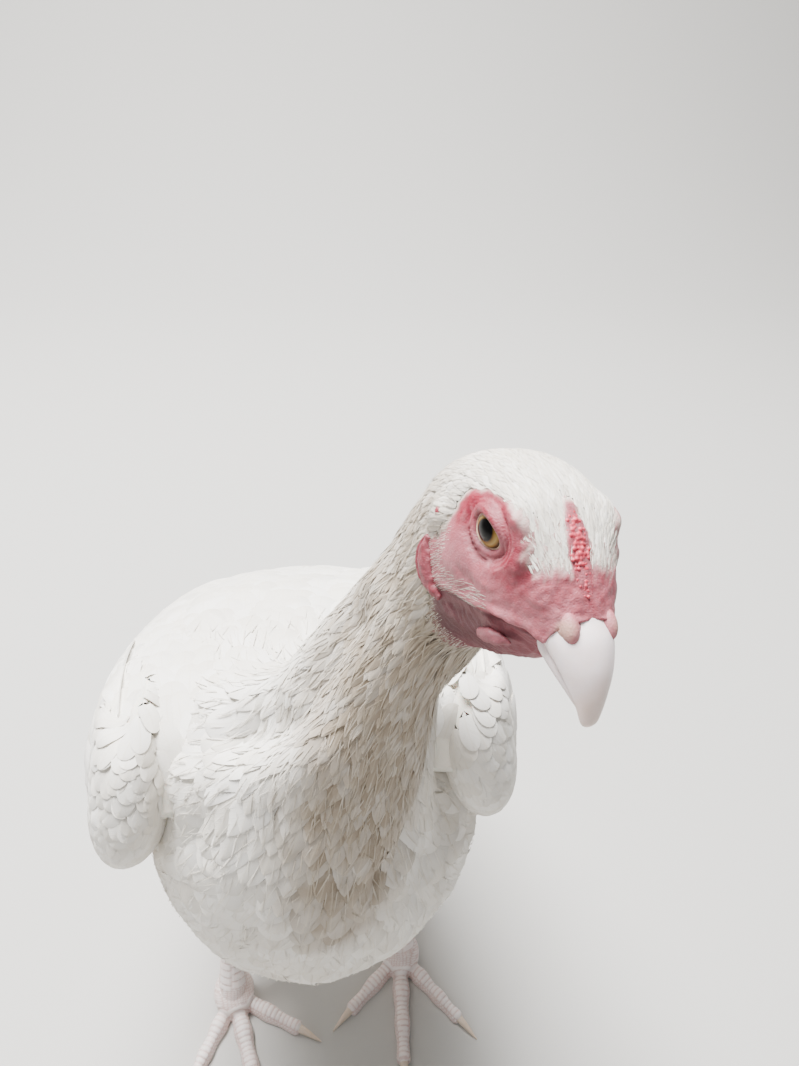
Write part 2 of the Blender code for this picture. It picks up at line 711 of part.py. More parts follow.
def main():
    for old in list(bpy.data.objects):
        bpy.data.objects.remove(old)
    rings, normals, cuts = body_rings()
    body = loft("body", rings)
    parts = {name: body_part(name, rings, normals, *span) for name, span in cuts.items()}
    for name in ("torso", "neck_lower", "neck_upper"):
        finish(parts[name], name, "feather")
    head = make_head(parts["head"])
    make_eyes()
    make_beak(head)
    make_comb(body)
    make_folds(body)
    make_tail(body)
    for word, side in (("left", 1), ("right", -1)):
        thigh = make_leg(word, side, body)
        make_wing(word, side, body, thigh)
    bpy.data.objects.remove(body)
    for obj in bpy.data.objects:
        obj.data.transform(Matrix.Translation(-MM * Vector(BOX_MIDDLE)))


main()
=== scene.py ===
"""The looks of a life-size white Aseel game hen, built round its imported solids.

Tables hold millimetres in the bird's own frame: it faces -Y, its left is +X, up is +Z, and the point
between its feet is the start. BOX_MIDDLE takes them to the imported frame.
The skin and every feather grow from smooth sheets, which repeat the lines plan of the solids.
"""

import math

import bmesh
import bpy
import numpy as np
from mathutils import Matrix, Vector, bvhtree, kdtree, noise


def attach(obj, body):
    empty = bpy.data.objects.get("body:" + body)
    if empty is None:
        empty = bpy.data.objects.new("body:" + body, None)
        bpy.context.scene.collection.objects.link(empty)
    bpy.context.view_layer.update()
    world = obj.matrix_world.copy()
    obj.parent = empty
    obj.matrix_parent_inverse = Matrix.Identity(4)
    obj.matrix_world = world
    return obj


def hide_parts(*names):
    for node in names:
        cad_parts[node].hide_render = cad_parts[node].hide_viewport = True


MM = 0.001
BOX_MIDDLE = np.array((-1.8, 58, 0))
BODY = "root"
SIDES = {"left": 1, "right": -1}

# Lines plan of the trunk, neck and head: dorsal point, ventral point and half width.
TRUNK = (
    ((0, 152, 172), (0, 146, 152), 12),
    ((0, 134, 190), (0, 120, 140), 28),
    ((0, 106, 212), (0, 90, 132), 44),
    ((0, 70, 238), (0, 50, 123), 61),
    ((0, 32, 260), (0, 10, 119), 68),
    ((0, 0, 269), (0, -32, 122), 70),
    ((0, -20, 273), (0, -69, 138), 66),
    ((1, -30, 277), (0, -90, 163), 57),
    ((3, -36, 281), (2, -98, 195), 47),
    ((8, -40, 287), (7, -98, 227), 37),
    ((14, -42, 296), (12, -94, 256), 30),
)
NECK = (
    ((20, -43, 310), (19, -89, 283), 25),
    ((28, -44, 326), (28, -84, 305), 22),
    ((37, -46, 345), (39, -79, 323), 19.5),
)
# The head has its own frame, x forward, y left and z up, from midway between the eyes. Its dorsal and
# ventral points have x and z only.
HEAD = (
    ((-37, -17), (-3, -50), 18),
    ((-33, -5), (1, -44), 18.3),
    ((-24, 5), (5, -39.5), 18.5),
    ((-13, 10.3), (9.5, -35), 18.4),
    ((-2, 11.4), (13.5, -31.3), 17.6),
    ((6.5, 8.5), (17, -27.8), 15.8),
    ((14, 4), (19.3, -24.8), 13.2),
    ((20.2, -0.8), (21.4, -22.2), 10.8),
    ((25, -4.5), (23, -19.5), 9.0),
)
HEAD_PLACE = (56.5, -89, 377)
HEAD_YAW, HEAD_PITCH, HEAD_ROLL = 15, -10, -12
# How full the back is out towards the wings, by station: 1 is an ellipse, and less is squarer.
SHOULDER_FULLNESS = ((0, 0.7), (2, 0.6), (3, 0.5), (7, 0.5), (8.5, 0.62), (10, 0.7))
# Folds of the plumage over the body: the line each follows, its radius and its push.
BODY_FOLDS = (
    (((10, -64, 328), (0, -70, 309), (-6, -75, 296), (-15, -70, 287), (-28, -63, 278)), 8, -6.5),
    (((-2, -86, 292), (-14, -82, 280), (-30, -74, 268), (-46, -62, 256)), 12, 4.5),
    (((38, -72, 304), (42, -70, 284), (42, -76, 262), (36, -83, 244), (24, -91, 230)), 8, -6.5),
    (((54, -62, 270), (58, -62, 246), (54, -70, 222)), 12, 3.0),
    (((10, 36, 259), (9, 0, 270), (9, -26, 276)), 4, -1.4),
    (((-31, 13, 263), (-26, 16, 263)), 6, -3.0),
    (((-26, -94, 232), (-28, -92, 205), (-20, -92, 178)), 7, -1.6),
    (((4, -102, 250), (0, -104, 215), (-2, -98, 180)), 14, 1.4),
)
# Soft billows of the plumage: their size and how high they rise.
BILLOWS = ((17, 1.5), (7, 0.5))
# Rows made from each station to the next, and points round each of them.
TRUNK_STEPS, NECK_STEPS, HEAD_STEPS = 8, 9, 13
BODY_SIDES = 256
# Stations of the lines plan where the neck and the head start.
NECK_START, HEAD_START = len(TRUNK) - 1, len(TRUNK) + len(NECK)
LAST_STATION = len(TRUNK) + len(NECK) + len(HEAD) - 1

# Forms raised from the head or sunk in it, on both sides: centre, radius and push along the ring.
HEAD_FORMS = {
    "brow": ((4, 15, 8), 10, 2.2),
    "eye hollow": ((-1.5, 17, -1), 9.5, -3.0),
    "cheek": ((-5, 16, -14), 10, 1.6),
    "ear tuft": ((-18, 17, -12.5), 6.5, 2.0),
    "jaw": ((12, 12, -21), 8, 1.0),
}
# The left eye in the head's frame: radius, centre and the way it looks, and half the lids' opening.
EYE_RADIUS = 7.0
EYE_CENTRE, EYE_LOOK = (-1.8, 10.4, -1), (0.12, 1.0, 0.02)
LID_OPENING = 4.3

# Depth of the plumage over the skin, its spacing, and its feathers' length and half width, by station.
COAT = {
    "stations": (0, 2, 5, 9, 10.5, 12, 13.5, 15, 16.5, 19, 22),
    "depth": (3, 4, 4.2, 3.8, 2.6, 1.7, 1.2, 0.9, 0.7, 0.6, 0.4),
    "spacing": (5, 5.8, 5.8, 5.2, 3.6, 2.5, 2.0, 1.5, 1.2, 1.05, 0.95),
    "length": (26, 29, 29, 26, 20, 15, 12, 8, 5.8, 4.4, 3.2),
    "half width": (6.0, 7.2, 7.2, 6.2, 4.0, 2.6, 1.9, 1.35, 1.05, 0.8, 0.6),
}
# How much the lengths and widths of single feathers vary, as a share.
UNEVEN = 0.07


def unit(v):
    """Vectors of length one, along the last axis."""
    return v / np.maximum(np.linalg.norm(v, axis=-1, keepdims=True), 1e-9)


def smooth_step(low, high, x):
    """0 on the far side of low and 1 beyond high, with a soft rise between them."""
    t = np.clip((x - low) / (high - low), 0, 1)
    return t * t * (3 - 2 * t)


def swelling(away):
    """Height of a soft form, 1 in its middle and 0 from its edge on."""
    return np.where(away < 1, (1 - away**2) ** 2, 0)


def noise_at(points, size):
    """Smooth noise with features of this size, at each point."""
    made = [noise.noise(Vector(point) / size) for point in points.reshape(-1, 3)]
    return np.array(made).reshape(points.shape[:-1])


def table_rows(table):
    """Rows of dorsal point, ventral point and half width."""
    return np.array([[*a, *b, width] for a, b, width in table], float)


def row_middles(rows):
    """The points midway between the dorsal and the ventral ones."""
    return (rows[:, 0:3] + rows[:, 3:6]) / 2


def read_at(places, run, rows):
    """Rows between the given ones, which lie at these lengths of the run."""
    return np.stack([np.interp(places, run, column) for column in rows.T], -1)


def run_along(line):
    """Length of the line up to each of its points."""
    return np.concatenate([[0], np.cumsum(np.linalg.norm(np.diff(line, axis=0), axis=1))])


def head_frame():
    """From the head's frame to the bird's."""
    turn = (
        Matrix.Rotation(math.radians(HEAD_YAW - 90), 4, "Z")
        @ Matrix.Rotation(math.radians(-HEAD_PITCH), 4, "Y")
        @ Matrix.Rotation(math.radians(HEAD_ROLL), 4, "X")
    )
    return np.array(Matrix.Translation(Vector(HEAD_PLACE)) @ turn)


HEAD_MATRIX = head_frame()


def from_head(points):
    """Points of the head's frame in the bird's."""
    return np.asarray(points, float) @ HEAD_MATRIX[:3, :3].T + HEAD_MATRIX[:3, 3]


def to_head(points):
    """Points of the bird's frame in the head's."""
    return (np.asarray(points, float) - HEAD_MATRIX[:3, 3]) @ HEAD_MATRIX[:3, :3]


def head_rows(table):
    """Stations drawn in the head's frame as rows in the bird's."""
    rows = []
    for (dx, dz), (vx, vz), width in table:
        rows.append([*from_head((dx, 0, dz)), *from_head((vx, 0, vz)), width])
    return np.array(rows)


def catmull(rows, steps):
    """Rows on a smooth curve through the given ones, with as many steps from each to the next."""
    steps = np.broadcast_to(steps, len(rows) - 1)
    padded = np.vstack([2 * rows[0] - rows[1], rows, 2 * rows[-1] - rows[-2]])
    made = []
    for i, count in enumerate(steps):
        a, b, c, d = padded[i : i + 4]
        for t in np.arange(count) / count:
            bend, turn = 2 * a - 5 * b + 4 * c - d, 3 * b - a - 3 * c + d
            made.append((2 * b + (c - a) * t + bend * t**2 + turn * t**3) / 2)
    made.append(rows[-1])
    return np.array(made)


def round_outline(sides):
    """Unit points (lateral, vertical) of a ring, the first at the top."""
    angles = 2 * np.pi * np.arange(sides) / sides
    return np.column_stack([np.sin(angles), np.cos(angles)])


def fine_line(points, count=40):
    """Points spread along a smooth line."""
    smooth = catmull(np.array(points, float), 12)
    run = run_along(smooth)
    return read_at(np.linspace(0, run[-1], count), run, smooth)


def rings_of(rows, outline):
    """A ring of points for each row (dorsal, ventral, half width), with one outline or one for each."""
    outline = np.broadcast_to(outline, (len(rows), *outline.shape[-2:]))
    centres = row_middles(rows)
    ups = (rows[:, 0:3] - rows[:, 3:6]) / 2
    sides = unit(np.cross(ups, np.gradient(centres, axis=0)))
    lateral = outline[..., 0, None] * rows[:, None, 6, None] * sides[:, None]
    return centres[:, None] + lateral + outline[..., 1, None] * ups[:, None]


# Taken off a count of rows, so that the last one is read from the cell before it.
INSIDE = 1.001


class Sheet:
    """A smooth surface kept as a grid of points: rows run along it and columns run round it.

    sense is 1 where feathers lie towards higher rows and -1 where they lie towards lower ones.
    """

    def __init__(self, points, sense, mirror=1):
        flip = np.array([mirror, 1, 1])
        self.points = points * flip
        self.along = np.gradient(self.points, axis=0)
        self.around = (np.roll(self.points, -1, 1) - np.roll(self.points, 1, 1)) / 2
        self.normals = unit(np.cross(self.along, self.around)) * mirror
        self.rows, self.columns = points.shape[:2]
        self.sense = sense

    def read(self, grid, u, v):
        """The grid's value between its points, at row u and column v."""
        u = np.clip(u, 0, self.rows - INSIDE)
        v = v % self.columns
        i, j = u.astype(int), v.astype(int)
        k = (j + 1) % self.columns
        f, g = (u - i)[..., None], (v - j)[..., None]
        near = grid[i, j] * (1 - g) + grid[i, k] * g
        far = grid[i + 1, j] * (1 - g) + grid[i + 1, k] * g
        return near * (1 - f) + far * f

    def bake_place(self, u, v):
        """The point of the sheet's own unwrap."""
        return np.stack([(v % self.columns) / self.columns, u / (self.rows - 1)], -1)


def evenly(gap):
    """A spacing that is the same all over a sheet."""
    return lambda rows: np.full(np.shape(rows), gap)


# How many roots are tried for each that has room, and the least spacing that counts there.
TRIES, LEAST_GAP = 5, 0.5


def scatter(sheet, spacing, allowed, seed, first=0.0, last=None):
    """Roots spread evenly over the sheet, spacing(u) apart, where allowed(u, v, points) says so."""
    rng = np.random.default_rng(seed)
    areas = np.linalg.norm(np.cross(sheet.along, sheet.around), axis=-1)[:-1]
    rows = np.arange(sheet.rows - 1)
    inside = (rows >= first) & (rows <= (sheet.rows if last is None else last))
    weights = areas * inside[:, None] / np.maximum(spacing(rows), LEAST_GAP)[:, None] ** 2
    cells = rng.choice(weights.size, int(weights.sum() * TRIES), p=(weights / weights.sum()).ravel())
    u = cells // sheet.columns + rng.random(len(cells))
    v = cells % sheet.columns + rng.random(len(cells))
    points = sheet.read(sheet.points, u, v)
    kept = allowed(u, v, points)
    u, v, points = u[kept], v[kept], points[kept]
    reach = spacing(u)
    tree = kdtree.KDTree(len(points))
    for i, point in enumerate(points):
        tree.insert(point, i)
    tree.balance()
    free = np.ones(len(points), bool)
    chosen = []
    for i in range(len(points)):
        if free[i]:
            chosen.append(i)
            for _, j, _ in tree.find_range(points[i], reach[i]):
                free[j] = False
    return u[chosen], v[chosen]


def paths_over(sheet, u, v, lengths, turns, stations, drape=0.0):
    """Lines over the sheet that start at the roots and follow its lie, and the way out of it there.

    turns are angles off the lie, and drape bends the lines down by that share.
    """
    step = lengths / (stations - 1)
    place_u, place_v = u.copy(), v.copy()
    points, outs = [], []
    here = sheet.read(sheet.points, place_u, place_v)
    for _ in range(stations):
        out = unit(sheet.read(sheet.normals, place_u, place_v))
        points.append(here)
        outs.append(out)
        along = sheet.read(sheet.along, place_u, place_v)
        around = sheet.read(sheet.around, place_u, place_v)
        lie = unit(along * sheet.sense)
        down = np.array([0, 0, -1]) + out * out[:, 2:3]
        lie = unit(lie + down * drape)
        cross = np.cross(out, lie)
        lie = lie * np.cos(turns)[:, None] + cross * np.sin(turns)[:, None]
        a, b, c = (along**2).sum(1), (along * around).sum(1), (around**2).sum(1)
        p, q = (lie * along).sum(1), (lie * around).sum(1)
        det = np.maximum(a * c - b * b, 1e-9)
        place_u = place_u + (c * p - b * q) / det * step
        place_v = place_v + (a * q - b * p) / det * step
        off = (place_u < 0) | (place_u > sheet.rows - INSIDE)
        on_sheet = sheet.read(sheet.points, place_u, place_v)
        here = np.where(off[:, None], here + lie * step[:, None], on_sheet)
    return np.stack(points, 1), np.stack(outs, 1)


# Outline of a feather: where it is widest as a share of its length, half width at the root as a share
# of the widest, and two powers that make its end blunt or sharp.
SHAPES = {
    "round": (0.6, 0.35, 2.2, 0.5),
    "pointed": (0.45, 0.4, 1.5, 0.8),
    "flight": (0.55, 0.3, 4.0, 0.55),
}
# How far a barb runs along the feather for each millimetre that it runs out from the shaft.
SLANT = 1.0
# Points of a vane's edge: the share of its length where they start, the share that they take up, and
# how they crowd towards its end. On the shaft they lie at least LEAST_STEP apart.
EDGE_START, EDGE_SPAN, EDGE_CROWDING, LEAST_STEP = 0.14, 0.85, 1.5, 0.015
# Side of a feather's patch on the map OFBake.
PATCH_SIZE = 0.003


def edge_shares(steps):
    """Where the points of a vane's edge lie, as shares of its length."""
    return EDGE_START + EDGE_SPAN * (1 - (1 - steps) ** EDGE_CROWDING)


def outline_of(shape, shares):
    """Half width of a feather at these shares of its length, as a share of its widest."""
    widest, root, power, bluntness = SHAPES[shape]
    rise = root + (1 - root) * np.sin(np.pi / 2 * np.clip(shares / widest, 0, 1)) ** 0.9
    fall = (1 - np.clip((shares - widest) / (1 - widest), 0, 1) ** power) ** bluntness
    return np.where(shares < widest, rise, fall)


def along_paths(grid, shares):
    """Values of a grid of paths at shares of their length."""
    place = np.clip(shares, 0, 1) * (grid.shape[1] - INSIDE)
    i = place.astype(int)
    f = (place - i)[..., None]
    rows = np.arange(len(grid))[:, None]
    return grid[rows, i] * (1 - f) + grid[rows, i + 1] * f


def vane_faces(k):
    """The corners of one vane's faces, for k stretches, and the count of corners in each face.

    Points are in groups: shaft, left edge, right edge, then the same under them, each k + 1 long, then
    the left and right fringe, each k long, and the tip.
    """
    groups = np.arange(6)[:, None] * (k + 1) + np.arange(k + 1)
    shaft, left, right, under, under_left, under_right = groups
    fringe_left = 6 * (k + 1) + np.arange(k)
    fringe_right = fringe_left + k
    tip = 8 * k + 6
    faces = []
    for i in range(k):
        j = i + 1
        a, b = fringe_left[i], fringe_right[i]
        faces += [
            (shaft[i], shaft[j], left[j], left[i]),
            (shaft[i], right[i], right[j], shaft[j]),
            (under[i], under_left[i], under_left[j], under[j]),
            (under[i], under[j], under_right[j], under_right[i]),
            (left[i], left[j], a), (right[i], b, right[j]),
            (under_left[i], a, under_left[j]), (under_right[i], under_right[j], b),
            (left[i], a, under_left[i]), (left[j], under_left[j], a),
            (b, right[i], under_right[i]), (right[j], b, under_right[j]),
        ]
    faces += [
        (shaft[0], left[0], under_left[0], under[0], under_right[0], right[0]),
        (left[k], shaft[k], tip), (shaft[k], right[k], tip),
        (under[k], under_left[k], tip), (under_right[k], under[k], tip),
        (left[k], tip, under_left[k]), (tip, right[k], under_right[k]),
    ]
    return np.concatenate([np.array(f) for f in faces]), np.array([len(f) for f in faces])


def vanes(paths, outs, half_widths, shape, seed, bake, stain, stretches=10, cup=0.03, fringe=0.03,
          thick=0.15, roll=0.8, splits=0.03, pillow=0.28):
    """Closed feathers along the paths, as arrays for a mesh. Their edges are laid out along the barbs.

    cup bends the edges down, for all feathers or for each, and fringe is how uneven the barbs' ends are,
    both as shares. roll tips a feather about its shaft by about that many degrees, splits is the share of
    the edge's points where the barbs have parted, and pillow rounds its shading.
    """
    rng = np.random.default_rng(seed)
    count, k = len(paths), stretches
    ways = unit(np.gradient(paths, axis=1))
    sides = unit(np.cross(outs, ways))
    upright, lie = np.cross(ways, sides), outs
    angle = np.radians(rng.normal(0, roll, count))[:, None, None]
    outs = upright * np.cos(angle) - sides * np.sin(angle)
    sides = sides * np.cos(angle) + upright * np.sin(angle)
    lengths = np.linalg.norm(np.diff(paths, axis=1), axis=2).sum(1)[:, None]
    steps = np.linspace(0, 1, k + 1)
    shares = edge_shares(steps)
    widths = outline_of(shape, shares) * half_widths[:, None]
    shafts = np.maximum(shares - widths * SLANT / lengths, LEAST_STEP * np.arange(k + 1))
    shares = np.broadcast_to(shares, widths.shape)
    between = np.broadcast_to(edge_shares((steps[:-1] + steps[1:]) / 2), widths[:, 1:].shape)
    cup = np.broadcast_to(cup, (count,))[:, None]

    def edge(side, width, at):
        bend = cup * width * width / half_widths[:, None]
        return (along_paths(paths, at) + along_paths(sides, at) * (side * width)[..., None]
                - along_paths(outs, at) * bend[..., None])

    # Each group has its points, how far they are off the shaft and their shares of the length.
    tops = [(along_paths(paths, shafts), 0 * widths, shafts)]
    fringes = []
    for side in (1, -1):
        parted = rng.random(widths.shape) < splits
        width = np.where(parted, widths * rng.uniform(0.8, 0.95, widths.shape), widths)
        loose = 1 + fringe * rng.uniform(-0.5, 1, between.shape)
        wide = outline_of(shape, between) * half_widths[:, None] * loose
        tops.append((edge(side, width, shares), side * width, shares))
        ends = edge(side, wide, between) - along_paths(outs, between) * thick * 0.2
        fringes.append((ends, side * wide, between))
    # A feather is thickest along its shaft, and thins out towards its tip and its edges.
    thickness = thick * (1 - 0.6 * shafts)[..., None]
    rim = along_paths(outs, shares) * thickness * 0.4
    drops = (along_paths(outs, shafts) * thickness, rim, rim)
    unders = [(top - drop, *rest) for (top, *rest), drop in zip(tops, drops)]
    ones = np.ones((count, 1))
    tip = (along_paths(paths, ones), 0 * ones, ones)
    points, across, run = (np.concatenate(part, 1) for part in zip(*tops, *unders, *fringes, tip))
    # Shading normals lean out at the rim, so that the edge of a feather stays soft: how far those of
    # each group lean to the left, and how far they point up.
    counts = [k + 1] * 6 + [k, k, 1]
    lean = np.repeat([0, pillow, -pillow, 0, 1, -1, 0.7, -0.7, 0], counts)[:, None]
    rise = np.repeat([1, 1, 1, -1, -0.5, -0.5, 0.5, 0.5, 0.5], counts)[:, None]
    tilts = rng.normal(0, 0.3 * pillow, (2, count, 1, 1))
    lie = lie + sides * tilts[0] + ways * tilts[1]
    normals = unit(along_paths(lie, run) * rise + along_paths(sides, run) * lean)
    corners, sizes = vane_faces(k)
    each = points.shape[1]
    patch = np.stack([across / (2.4 * half_widths[:, None]), run - 0.5], -1)
    stain = np.broadcast_to(np.asarray(stain, float), paths.shape[:2])
    return {
        "points": points.reshape(-1, 3),
        "loops": (corners[None] + np.arange(count)[:, None] * each).ravel(),
        "sizes": np.tile(sizes, count),
        "OFBake": (bake[:, None] + patch * PATCH_SIZE).reshape(-1, 2),
        "barbs": (np.stack([across, run * lengths], -1) * MM).reshape(-1, 2),
        "normals": normals.reshape(-1, 3),
        "tone": np.repeat(rng.random(count), each),
        "stain": along_paths(stain[..., None], run)[..., 0].ravel(),
        "tip": run.ravel(),
    }


def joined(batches):
    """Several batches of vanes as one."""
    made = {key: np.concatenate([batch[key] for batch in batches]) for key in batches[0]}
    shifts = np.cumsum([0] + [len(batch["points"]) for batch in batches])
    made["loops"] = np.concatenate([batch["loops"] + shift for batch, shift in zip(batches, shifts)])
    return made


def mesh_piece(name, points, loops, sizes, uvs=(), values=(), normals=None):
    """A new object from points in millimetres of the bird's frame."""
    mesh = bpy.data.meshes.new(name)
    mesh.vertices.add(len(points))
    mesh.vertices.foreach_set("co", ((points - BOX_MIDDLE) * MM).astype(np.float32).ravel())
    mesh.loops.add(len(loops))
    mesh.loops.foreach_set("vertex_index", loops.astype(np.int32))
    mesh.polygons.add(len(sizes))
    starts = np.concatenate([[0], np.cumsum(sizes)[:-1]])
    mesh.polygons.foreach_set("loop_start", starts.astype(np.int32))
    mesh.update(calc_edges=True)
    for layer, uv in dict(uvs).items():
        mesh.uv_layers.new(name=layer).data.foreach_set("uv", uv[loops].astype(np.float32).ravel())
    for key, value in dict(values).items():
        mesh.attributes.new(key, "FLOAT", "POINT").data.foreach_set("value", value.astype(np.float32))
    mesh.shade_smooth()
    if normals is not None:
        mesh.normals_split_custom_set_from_vertices(normals.tolist())
    made = bpy.data.objects.new(name, mesh)
    bpy.context.scene.collection.objects.link(made)
    return made


def coat_piece(name, batch, *nodes):
    """A piece of plumage, which rides on the bird and stands for these nodes of the solids."""
    uvs = {"OFBake": batch["OFBake"], "barbs": batch["barbs"]}
    values = {key: batch[key] for key in ("tone", "stain", "tip")}
    shape = (batch["points"], batch["loops"], batch["sizes"])
    made = mesh_piece(name, *shape, uvs, values, batch["normals"])
    return settle(made, PLUMAGE, "feather", *nodes)


def settle(piece, material, slot, *nodes):
    """Gives a piece its material and its place on the bird."""
    piece.data.materials.clear()
    piece.data.materials.append(material)
    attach(piece, BODY)
    if nodes:
        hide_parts(*nodes)
    return piece


def grid_piece(name, grid):
    """A closed skin over a grid of rings, with a fan over each end."""
    rows, columns = grid.shape[:2]
    points = np.vstack([grid.reshape(-1, 3), grid[0].mean(0), grid[-1].mean(0)])
    i, j = np.meshgrid(np.arange(rows - 1), np.arange(columns), indexing="ij")
    k = (j + 1) % columns
    quads = np.stack([i * columns + j, i * columns + k, (i + 1) * columns + k, (i + 1) * columns + j], -1)
    ends = []
    column = np.arange(columns)
    for row, centre in ((0, rows * columns), (rows - 1, rows * columns + 1)):
        ring = [row * columns + column, row * columns + (column + 1) % columns]
        fan = np.stack([*ring, np.full(columns, centre)], -1)
        ends.append(fan[:, ::-1] if row == 0 else fan)
    loops = np.concatenate([quads.ravel(), *(end.ravel() for end in ends)])
    sizes = np.concatenate([np.full(quads.size // 4, 4), np.full(2 * columns, 3)])
    piece = mesh_piece(name, points, loops, sizes)
    bm = bmesh.new()
    bm.from_mesh(piece.data)
    bmesh.ops.recalc_face_normals(bm, faces=bm.faces)
    bm.to_mesh(piece.data)
    bm.free()
    return piece


def body_grid():
    """The outer face of the plumage over trunk, neck and head, as a grid, and each row's station."""
    rows = np.vstack([table_rows(TRUNK), table_rows(NECK), head_rows(HEAD)])
    steps = [TRUNK_STEPS] * (len(TRUNK) - 1) + [NECK_STEPS] * (len(NECK) + 1)
    steps += [HEAD_STEPS] * (len(HEAD) - 1)
    stations = np.interp(np.arange(sum(steps) + 1), np.cumsum([0, *steps]), np.arange(len(steps) + 1))
    outline = round_outline(BODY_SIDES)
    fullness = np.interp(stations, *np.transpose(SHOULDER_FULLNESS))[:, None, None]
    fuller = np.sign(outline) * abs(outline) ** fullness
    outline = np.where(outline[:, 1:] > 0, fuller, outline)
    grid = rings_of(catmull(rows, steps), outline)
    outward = unit(grid - grid.mean(1, keepdims=True))
    push = np.zeros(grid.shape[:2])
    for line, radius, height in BODY_FOLDS:
        dots = fine_line(line)
        away = np.min([np.linalg.norm(grid - dot, axis=2) for dot in dots], axis=0) / radius
        push += height * np.exp(-(away**2))
    for centre, radius, height in HEAD_FORMS.values():
        for side in (1, -1):
            spot = from_head(np.array(centre) * (1, side, 1))
            away = np.linalg.norm(grid - spot, axis=2) / radius
            push += height * swelling(away)
    # The plumage billows on the body, less on the lower neck and not at all further up.
    soft = smooth_step(LAST_STATION - len(HEAD), 8, stations)[:, None]
    for size, height in BILLOWS:
        push += height * (0.25 + 0.75 * soft) * soft**0.5 * noise_at(grid, size)
    return grid + outward * push[..., None], stations


# Outline of the bare face in the head's frame, seen from the side: x forward, z up.
BARE_FACE = (
    (34, 8), (17.2, 8), (15.6, 3.8), (14, 2.5), (12.2, 2.8), (10.8, 4.2), (9, 5.6), (6, 7), (2, 8.3),
    (-2.4, 7.6), (-8.3, 5.2), (-13, 1.4), (-13.6, -4), (-13, -10), (-14, -16), (-18.3, -19), (-18.5, -25),
    (-14, -29.5), (-9, -32), (-7.5, -38), (-7.5, -44), (-4, -49), (3, -47), (8, -40), (13, -33), (22, -26),
    (34, -22),
)
# The bare spot of the ear, from the side.
EAR = (-17.9, -10.2)
# The pea comb: its middle off the head's, and the half width of its beads along the brow.
COMB_MIDDLE = -1.0
COMB_LINE = ((-1, 0.3), (3, 1.0), (7, 2.0), (11, 2.8), (15, 2.3), (19, 1.6), (22, 0.8))


def polygon_depth(points, polygon):
    """How far 2-D points lie inside a polygon, below zero where they are outside."""
    polygon = np.array(polygon, float)
    nearest = np.full(points.shape[:-1], 1e9)
    inside = np.zeros(points.shape[:-1], bool)
    for a, b in zip(polygon, np.roll(polygon, -1, 0)):
        along = b - a
        t = np.clip(((points - a) @ along) / (along @ along), 0, 1)
        nearest = np.minimum(nearest, np.linalg.norm(points - a - t[..., None] * along, axis=-1))
        crosses = (a[1] > points[..., 1]) != (b[1] > points[..., 1])
        level = (points[..., 1] - a[1]) / (along[1] if along[1] else 1e-9)
        inside ^= crosses & (points[..., 0] < a[0] + level * along[0])
    return np.where(inside, nearest, -nearest)


def bareness(points):
    """1 on the bare skin of the face, 0 under the plumage."""
    at = to_head(points)
    x, y, z = at[..., 0], at[..., 1], at[..., 2]
    # The edge of the plumage is softest on the forehead and the throat, and it wanders all along.
    soft = 1.3 + 3.2 * smooth_step(4, 12, x) * smooth_step(-8, 0, z) + 3 * smooth_step(-28, -44, z)
    wander = np.sin(1.3 * x + 0.9 * y) * np.sin(1.1 * z - 1.5 * y)
    wander = wander + 0.6 * np.sin(2.9 * y + 2.1 * x) * np.sin(2.3 * z + x)
    side = smooth_step(-1, 1, polygon_depth(at[..., [0, 2]], BARE_FACE) / soft + 0.35 * wander)
    off_comb = abs(y - COMB_MIDDLE) - np.interp(x, *np.transpose(COMB_LINE))
    comb_strip = smooth_step(1.6, 0.2, off_comb + 0.4 * wander) * smooth_step(0, 3, x)
    comb_strip = comb_strip * smooth_step(-8, 0, z)
    ear_spot = smooth_step(1.6, 0.8, np.hypot(x - EAR[0], z - EAR[1]))
    return np.clip(np.maximum.reduce([side, comb_strip, ear_spot]), 0, 1)


# Where dust stains the plumage: the line it follows from the throat down the breast, with its radius,
# and smaller spots with their centre, radius and share. Those low on the breast and beside the wings'
# lower front are partly dust and partly painted shade, where shade falls under the body and in the creases.
DUSTY_LINE = (
    (36, -64, 348, 26), (33, -72, 330, 28), (26, -82, 306, 26), (19, -91, 284, 23), (15, -97, 260, 22),
    (13, -99, 240, 21), (12, -99, 222, 16),
)
DUST_AND_SHADE_SPOTS = (
    ((-24, -86, 158), 26, 0.4), ((4, -88, 160), 24, 0.35), ((-20, -94, 205), 20, 0.3),
    ((-84, -44, 222), 20, 0.4), ((-80, -50, 196), 24, 0.8), ((76, -36, 200), 22, 0.7),
    ((58, -58, 215), 22, 0.3), ((30, -40, 340), 34, 0.3), ((42, -72, 388), 34, 0.22),
)


def dust_and_shade_at(points):
    """How dusty the plumage is at these points, with painted shade low on the breast and beside the wings."""
    dots = fine_line(DUSTY_LINE, 30)
    away = np.min([np.linalg.norm(points - dot[:3], axis=-1) / dot[3] for dot in dots], axis=0)
    made = np.minimum(1.2 * smooth_step(1.9, 0.3, away), 1)
    for centre, radius, share in DUST_AND_SHADE_SPOTS:
        away = np.linalg.norm(points - np.array(centre), axis=-1) / radius
        made = np.maximum(made, share * np.exp(-(away**2) * 0.9))
    return made


def by_station(key, stations):
    """A measure of the coat at these stations."""
    return np.interp(stations, COAT["stations"], COAT[key])


def linear(code):
    """An sRGB hex colour as linear RGBA."""
    parts = [int(code[i : i + 2], 16) / 255 for i in (0, 2, 4)]
    return (*[p / 12.92 if p <= 0.04045 else ((p + 0.055) / 1.055) ** 2.4 for p in parts], 1)


def node(tree, kind, links=(), **settings):
    """Adds a node. links go from an output to the input of that name or number, settings are its own."""
    made = tree.nodes.new("ShaderNode" + kind)
    for key, value in settings.items():
        if key.startswith("in_"):
            made.inputs[int(key[3:])].default_value = value
        else:
            setattr(made, key, value)
    for where, output in dict(links).items():
        tree.links.new(output, made.inputs[where])
    return made


